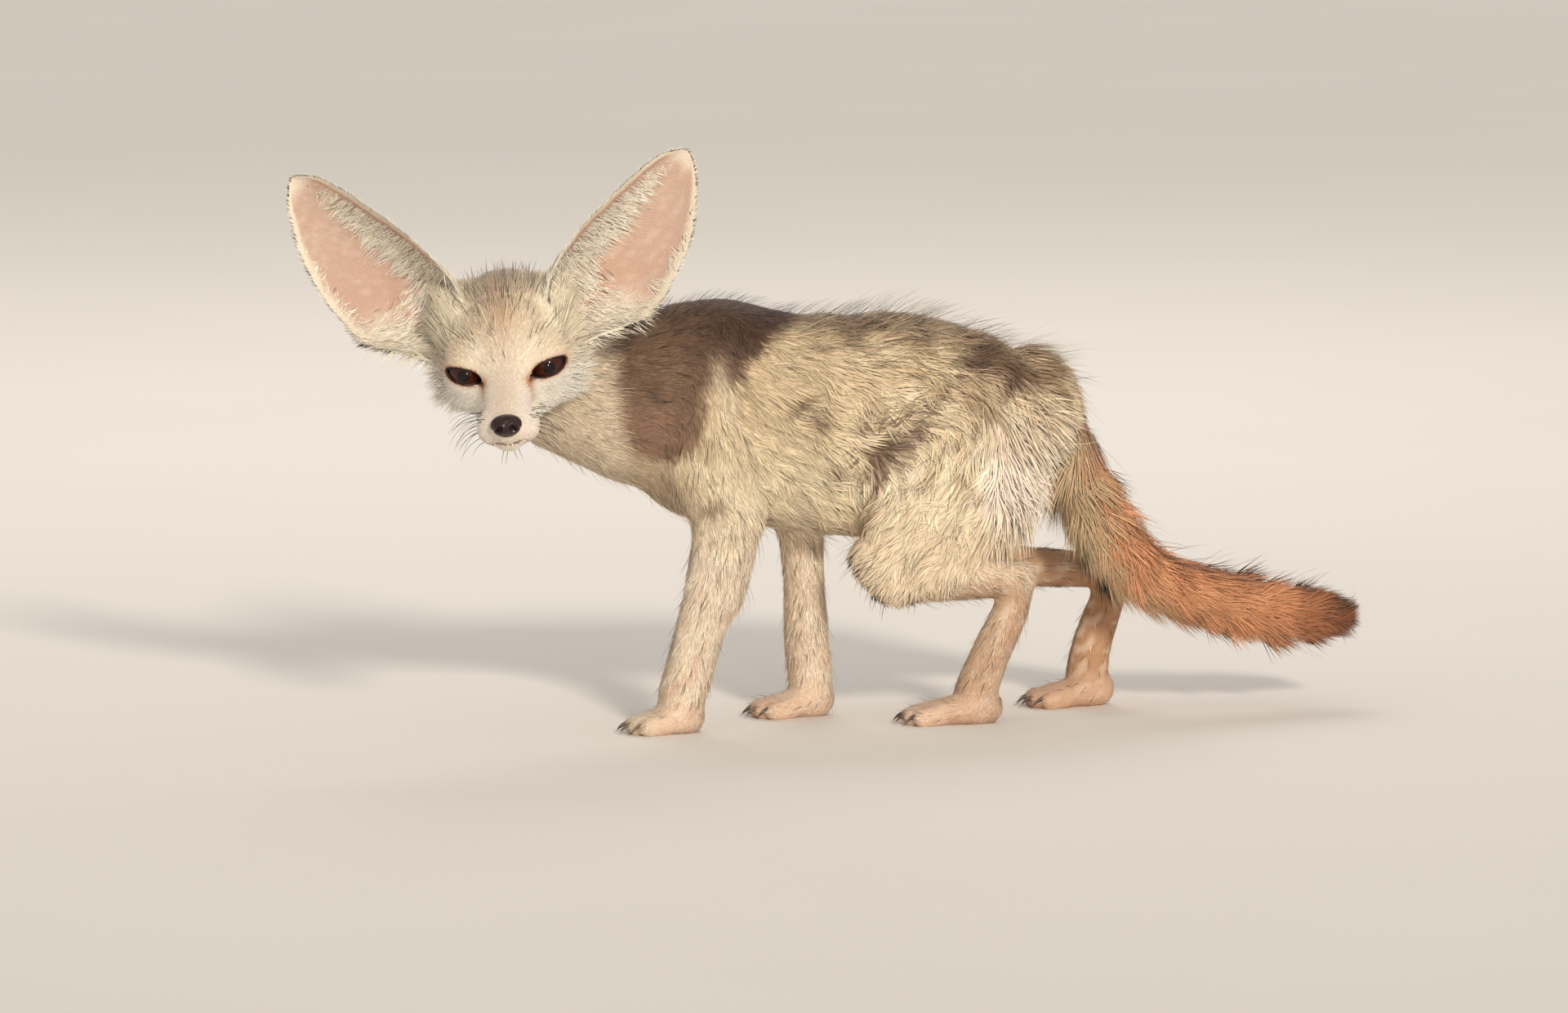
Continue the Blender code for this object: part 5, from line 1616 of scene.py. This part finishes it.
def bristles(name, starts, ways, lengths, bends, radius):
    """Long thin hairs, three-sided and drawn to a point, each bending as it goes."""
    count, rings = len(starts), 7
    steps = np.linspace(0, 1, rings + 1)
    s = steps[None, :, None]
    path = starts[:, None] + lengths[:, None, None] * (ways[:, None] * s + bends[:, None] * s**2)
    along = unit(np.gradient(path, axis=1))
    side = unit(np.cross(along, np.array([0.3, 0.2, 1.0])))
    over = np.cross(along, side)
    angle = np.arange(3) * 2 * math.pi / 3
    thick = radius * (1 - 0.8 * steps[:-1])[None, :, None, None]
    ring = path[:, :-1, None] + thick * (np.cos(angle)[:, None] * side[:, :-1, None]
                                         + np.sin(angle)[:, None] * over[:, :-1, None])
    points = np.concatenate([ring.reshape(count, -1, 3), path[:, -1:]], axis=1)
    triangles = tuft_faces(rings)[None] + np.arange(count)[:, None, None] * points.shape[1]
    mesh = mesh_of_arrays(name, points.reshape(-1, 3), triangles.reshape(-1, 3))
    return smooth_object(name, outward(mesh))


def whiskers(name):
    """Whiskers in four rows on each side, a few over each eye, and short bristles under the chin."""
    draws = np.random.default_rng(SEED + 60)
    roots, ways, bends, lengths = [], [], [], []
    for sign in (1, -1):
        for row in range(4):
            for place in range(4):
                forward = 34 - 4.4 * place - 0.8 * row
                roots.append((sign * (9 + 0.8 * place), forward, -11.5 - 2.6 * row))
                rise = 0.16 - 0.16 * row + draws.normal(0, 0.06)
                ways.append((sign * (1.0 + 0.1 * place), 0.3 - 0.2 * place, rise))
                bends.append((sign * -0.22, -0.30, -0.52 + draws.normal(0, 0.10)))
                lengths.append(draws.uniform(13, 19) + 3.2 * place - 1.2 * row)
        for place in range(4):
            roots.append((sign * (12 + 2.2 * place), -4 - 2.0 * place, 12 + 0.5 * place))
            ways.append((sign * (0.25 + 0.12 * place), 0.45, 0.85))
            bends.append((sign * 0.12, -0.35, -0.1))
            lengths.append(draws.uniform(13, 20))
        for place in range(2):
            roots.append((sign * (1.5 + 2.2 * place), 33 - 3 * place, -28))
            ways.append((sign * 0.25, 0.45, -0.85))
            bends.append((0, -0.25, 0))
            lengths.append(draws.uniform(6, 10))
    starts, out = onto_head(np.array(roots, float))
    return bristles(name, starts - 0.4 * out, unit(np.array(ways)) @ HEAD_AXES, np.array(lengths),
                    np.array(bends) @ HEAD_AXES, 0.19)


def lashes(name):
    """A row of short bristles along each upper lid."""
    roots, ways, bends = [], [], []
    for sign in (1, -1):
        centre, axes = eye_frame(sign)
        line = lid_line(72)[2:30]
        reach = np.sqrt((EYE_RADIUS + 0.9) ** 2 - (line ** 2).sum(1))
        rim = centre + line[:, :1] * axes[0] + (line[:, 1:] + 0.5) * axes[2] + reach[:, None] * axes[1]
        roots.append(rim)
        ways.append(unit(axes[1] + 0.25 * axes[2] + 0.05 * line[:, :1] * axes[0]))
        bends.append(np.tile(0.35 * axes[2] - 0.3 * axes[1], (len(line), 1)))
    roots, ways, bends = (np.vstack(v) for v in (roots, ways, bends))
    lengths = np.random.default_rng(SEED + 61).uniform(2.2, 3.6, len(roots))
    return bristles(name, roots, ways, lengths, bends, 0.13)


def claws(name):
    """A curved claw at the end of every toe."""
    meshes = []
    for heel, root in PAWS.values():
        heel, root = np.array(heel, float), np.array(root, float)
        way = unit(root - heel)
        across = np.array([-way[1], way[0]])
        for number, reach in enumerate(TOE_REACH):
            end = root + across * (number - 1.5) * TOE_SPREAD + way * reach
            rings = []
            for t in np.linspace(0, 1, 7)[:-1]:
                middle = np.array([*(end + way * (1.5 + 6.8 * t)), 4.9 + 1.2 * t - 4.4 * t * t])
                angle = np.arange(10) * math.pi / 5
                slope = unit(np.array([*(way * 6.8), 1.2 - 8.8 * t]))
                over = np.cross([*across, 0], slope)
                size = 1.25 * (1 - t) ** 0.75 + 0.12
                rings.append(middle + size * (0.7 * np.cos(angle)[:, None] * np.array([*across, 0])
                                              + np.sin(angle)[:, None] * over))
            meshes.append(tube_mesh(rings, tip=np.array([*(end + way * 8.4), 1.5])))
    return smooth_object(name, joined(meshes))


def ear_fringe(over, corners):
    """The combs of long pale hair across each ear's cup from its inner edge, and its outer edge's own."""
    share, across, kind = over["leaf"].T
    front = kind > 0.6
    inner = front * fade(-across, 0.26, 0.40) * fade(-across, 0.88, 0.74) * fade(share, -0.04, 0.08)
    inner = inner * fade(share, 0.96, 0.7)
    low = front * fade(share, 0.30, 0.08) * fade(share, -0.1, 0.0) * 0.8
    outer = front * fade(across, 0.80, 0.90) * fade(across, 1.01, 0.98)
    outer = outer * fade(share, 0.05, 0.2) * fade(share, 0.9, 0.6) * 0.35
    roots = roots_on(over, corners, 1.7 * np.maximum(np.maximum(inner, low), outer), SEED + 70)
    share, across, kind = roots["leaf"].T
    draws = np.random.default_rng(SEED + 71)
    way = np.zeros((len(share), 3))
    for number in (1, 2):
        axis, side, _ = ear_way(number)
        mine = np.round(kind) == number
        turn = np.where(across[mine] < 0, 1.0, -0.8)[:, None] * side
        lean = draws.normal(0.15, 0.22, mine.sum()) - 0.35 * fade(0.5 - share[mine], 0, 0.5)
        way[mine] = turn + lean[:, None] * axis
    way -= (way * roots["normal"]).sum(1, keepdims=True) * roots["normal"]
    length = np.where(across < 0, 13.5, 7.0) * (1 - 0.68 * fade(share, 0.3, 0.95))
    roots["length"] = length * draws.uniform(0.75, 1.15, len(share))
    roots["lift"] = 15 + 9 * draws.random(len(share))
    roots["colour"] = np.where(draws.random(len(share))[:, None] < 0.06, (140, 108, 88), (243, 231, 210))
    roots = unwrapped(roots)
    way = unit(way)
    shift = clumped(roots, way, 9, 0.55, SEED + 72)
    width = np.full(len(share), 0.34)
    return lay_tufts("ear_fringe", roots, way, width, 2, 2, shift, root_shade=0.92, seed=SEED + 73)


def guard_hairs(over, corners):
    """Longer single hairs that stand out of the coat along the back, the flanks, the crown and the tail."""
    names = np.array(GROUP_NAMES)[over["group"]]
    s, _, u = to_head(over["point"]).T
    top = fade(over["normal"][:, 2], 0.2, 0.9)
    density = np.isin(names, LEGS) * 0.04
    density = density + np.isin(names, TRUNK_PARTS) * (0.028 + 0.06 * top) + (names == "tail") * 0.025
    crown = 0.05 * fade(u, 0, 10) + 0.02 * fade(u, 18, 30)
    density = density + (names == "head") * fade(np.abs(s), 19, 13) * crown
    roots = roots_on(over, corners, density * (over["cover"] > 0), SEED + 80)
    draws = np.random.default_rng(SEED + 81)
    top = fade(roots["normal"][:, 2], 0.2, 0.9)
    roots["length"] = np.clip(roots["length"] * 1.25 + 3, 6, 27)
    roots["lift"] = np.clip(roots["lift"] + 8 + 16 * top, 0, 52)
    dark = draws.random(len(top))[:, None] < 0.45
    roots["colour"] = np.where(dark, roots["colour"] * 0.55, roots["colour"] * 1.05 + 8)
    way = turned_by(roots["flow"], roots["normal"], draws.normal(0, 14, len(top)))
    width = np.full(len(top), 0.28)
    return lay_tufts("guard_hairs", unwrapped(roots), way, width, 3, 8, root_shade=0.8, seed=SEED + 82)


# The photograph's view, the floor and the light.

AIM = (-0.01973, 0.03639, 0.1014)
CAMERA_DISTANCE = 6.0
CAMERA_AZIMUTH = math.radians(-15.0)
CAMERA_ELEVATION = math.radians(6.5)
LENS = 295.3
FLOOR_HALF = 30.0


def aimed(obj, place, target):
    """Stands a light or the camera at a place, looking at the target."""
    back = (Vector(place) - Vector(target)).normalized()
    obj.matrix_world = Matrix.Translation(Vector(place)) @ back.to_track_quat("Z", "Y").to_matrix().to_4x4()
    bpy.context.scene.collection.objects.link(obj)
    return obj


def add_camera():
    lens = bpy.data.cameras.new("view")
    lens.lens = LENS
    lens.clip_end = 200
    flat = math.cos(CAMERA_ELEVATION)
    level = (math.sin(CAMERA_AZIMUTH) * flat, -math.cos(CAMERA_AZIMUTH) * flat)
    back = Vector((*level, math.sin(CAMERA_ELEVATION)))
    camera = aimed(bpy.data.objects.new("view", lens), Vector(AIM) + back * CAMERA_DISTANCE, AIM)
    bpy.context.scene.camera = camera


def add_light(name, place, power, size, colour):
    lamp = bpy.data.lights.new(name, "AREA")
    lamp.energy = power
    lamp.size = size
    lamp.color = colour
    return aimed(bpy.data.objects.new(name, lamp), place, (0, 0, 0.12))


def add_sun(name, place, strength, colour):
    """A broad low light from far off, which falls evenly over the whole floor."""
    lamp = bpy.data.lights.new(name, "SUN")
    lamp.energy = strength
    lamp.angle = math.radians(8)
    lamp.color = colour
    return aimed(bpy.data.objects.new(name, lamp), place, (0, 0, 0))


def add_floor():
    mesh = bpy.data.meshes.new("studio_floor")
    bm = bmesh.new()
    bmesh.ops.create_grid(bm, x_segments=2, y_segments=2, size=FLOOR_HALF)
    bm.to_mesh(mesh)
    bm.free()
    floor = new_object("studio_floor", mesh)
    mesh.materials.append(floor_finish())


def add_world():
    world = bpy.data.worlds.new("studio")
    world.use_nodes = True
    sky = world.node_tree.nodes["Background"]
    sky.inputs["Color"].default_value = (1.0, 0.98, 0.95, 1)
    sky.inputs["Strength"].default_value = 0.5
    bpy.context.scene.world = world


FLESH = ["torso", "neck", "head", "ear_left", "ear_right", "tail_root", "tail_brush",
         *(node for node in frame["nodes"] if node.startswith(("fore", "hind")))]


def dressed(obj, material, stands_for=()):
    obj.data.materials.clear()
    obj.data.materials.append(material)
    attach(obj, "root")
    if stands_for:
        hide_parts(*stands_for)
    return obj


def build_fox():
    skin = make_skin()
    pieces, over, corners = lay_coat(skin)
    skin.data.shade_smooth()
    dressed(skin, hide_finish(), FLESH)
    coat = coat_finish("coat_hair", 0.15)
    for piece in [*pieces, guard_hairs(over, corners)]:
        dressed(piece, coat)
    dressed(ear_fringe(over, corners), coat_finish("ear_hair", 0.25))
    eye = eye_finish()
    for side, sign in (("left", 1), ("right", -1)):
        dressed(eyeball("eyeball_" + side, sign), eye, ["eye_" + side])
    dressed(lids("eyelids"), rim_finish("lid_rim", (46, 22, 16), 0.5))
    dressed(nose_leather("nose_leather"), nose_finish(), ["nose_pad"])
    dressed(mouth_line("lips"), rim_finish("lip_edge", (104, 78, 70), 0.45, 0.1))
    bristle = bristle_finish()
    dressed(whiskers("whiskers"), bristle)
    dressed(lashes("eyelashes"), bristle)
    dressed(claws("claws"), horn_finish())


build_fox()
add_floor()
add_camera()
add_world()
bpy.context.scene.view_settings.view_transform = "Standard"
add_sun("key", (0.06, -0.99, 0.47), 2.1, (1.0, 0.93, 0.84))
# A low lamp before the face puts the glint in the eyes.
add_light("catch", (-0.95, -7.4, 0.57), 95, 0.8, (1.0, 0.95, 0.88))
add_light("back", (0.3, 1.6, 1.7), 12, 1.2, (1.0, 0.98, 0.95))
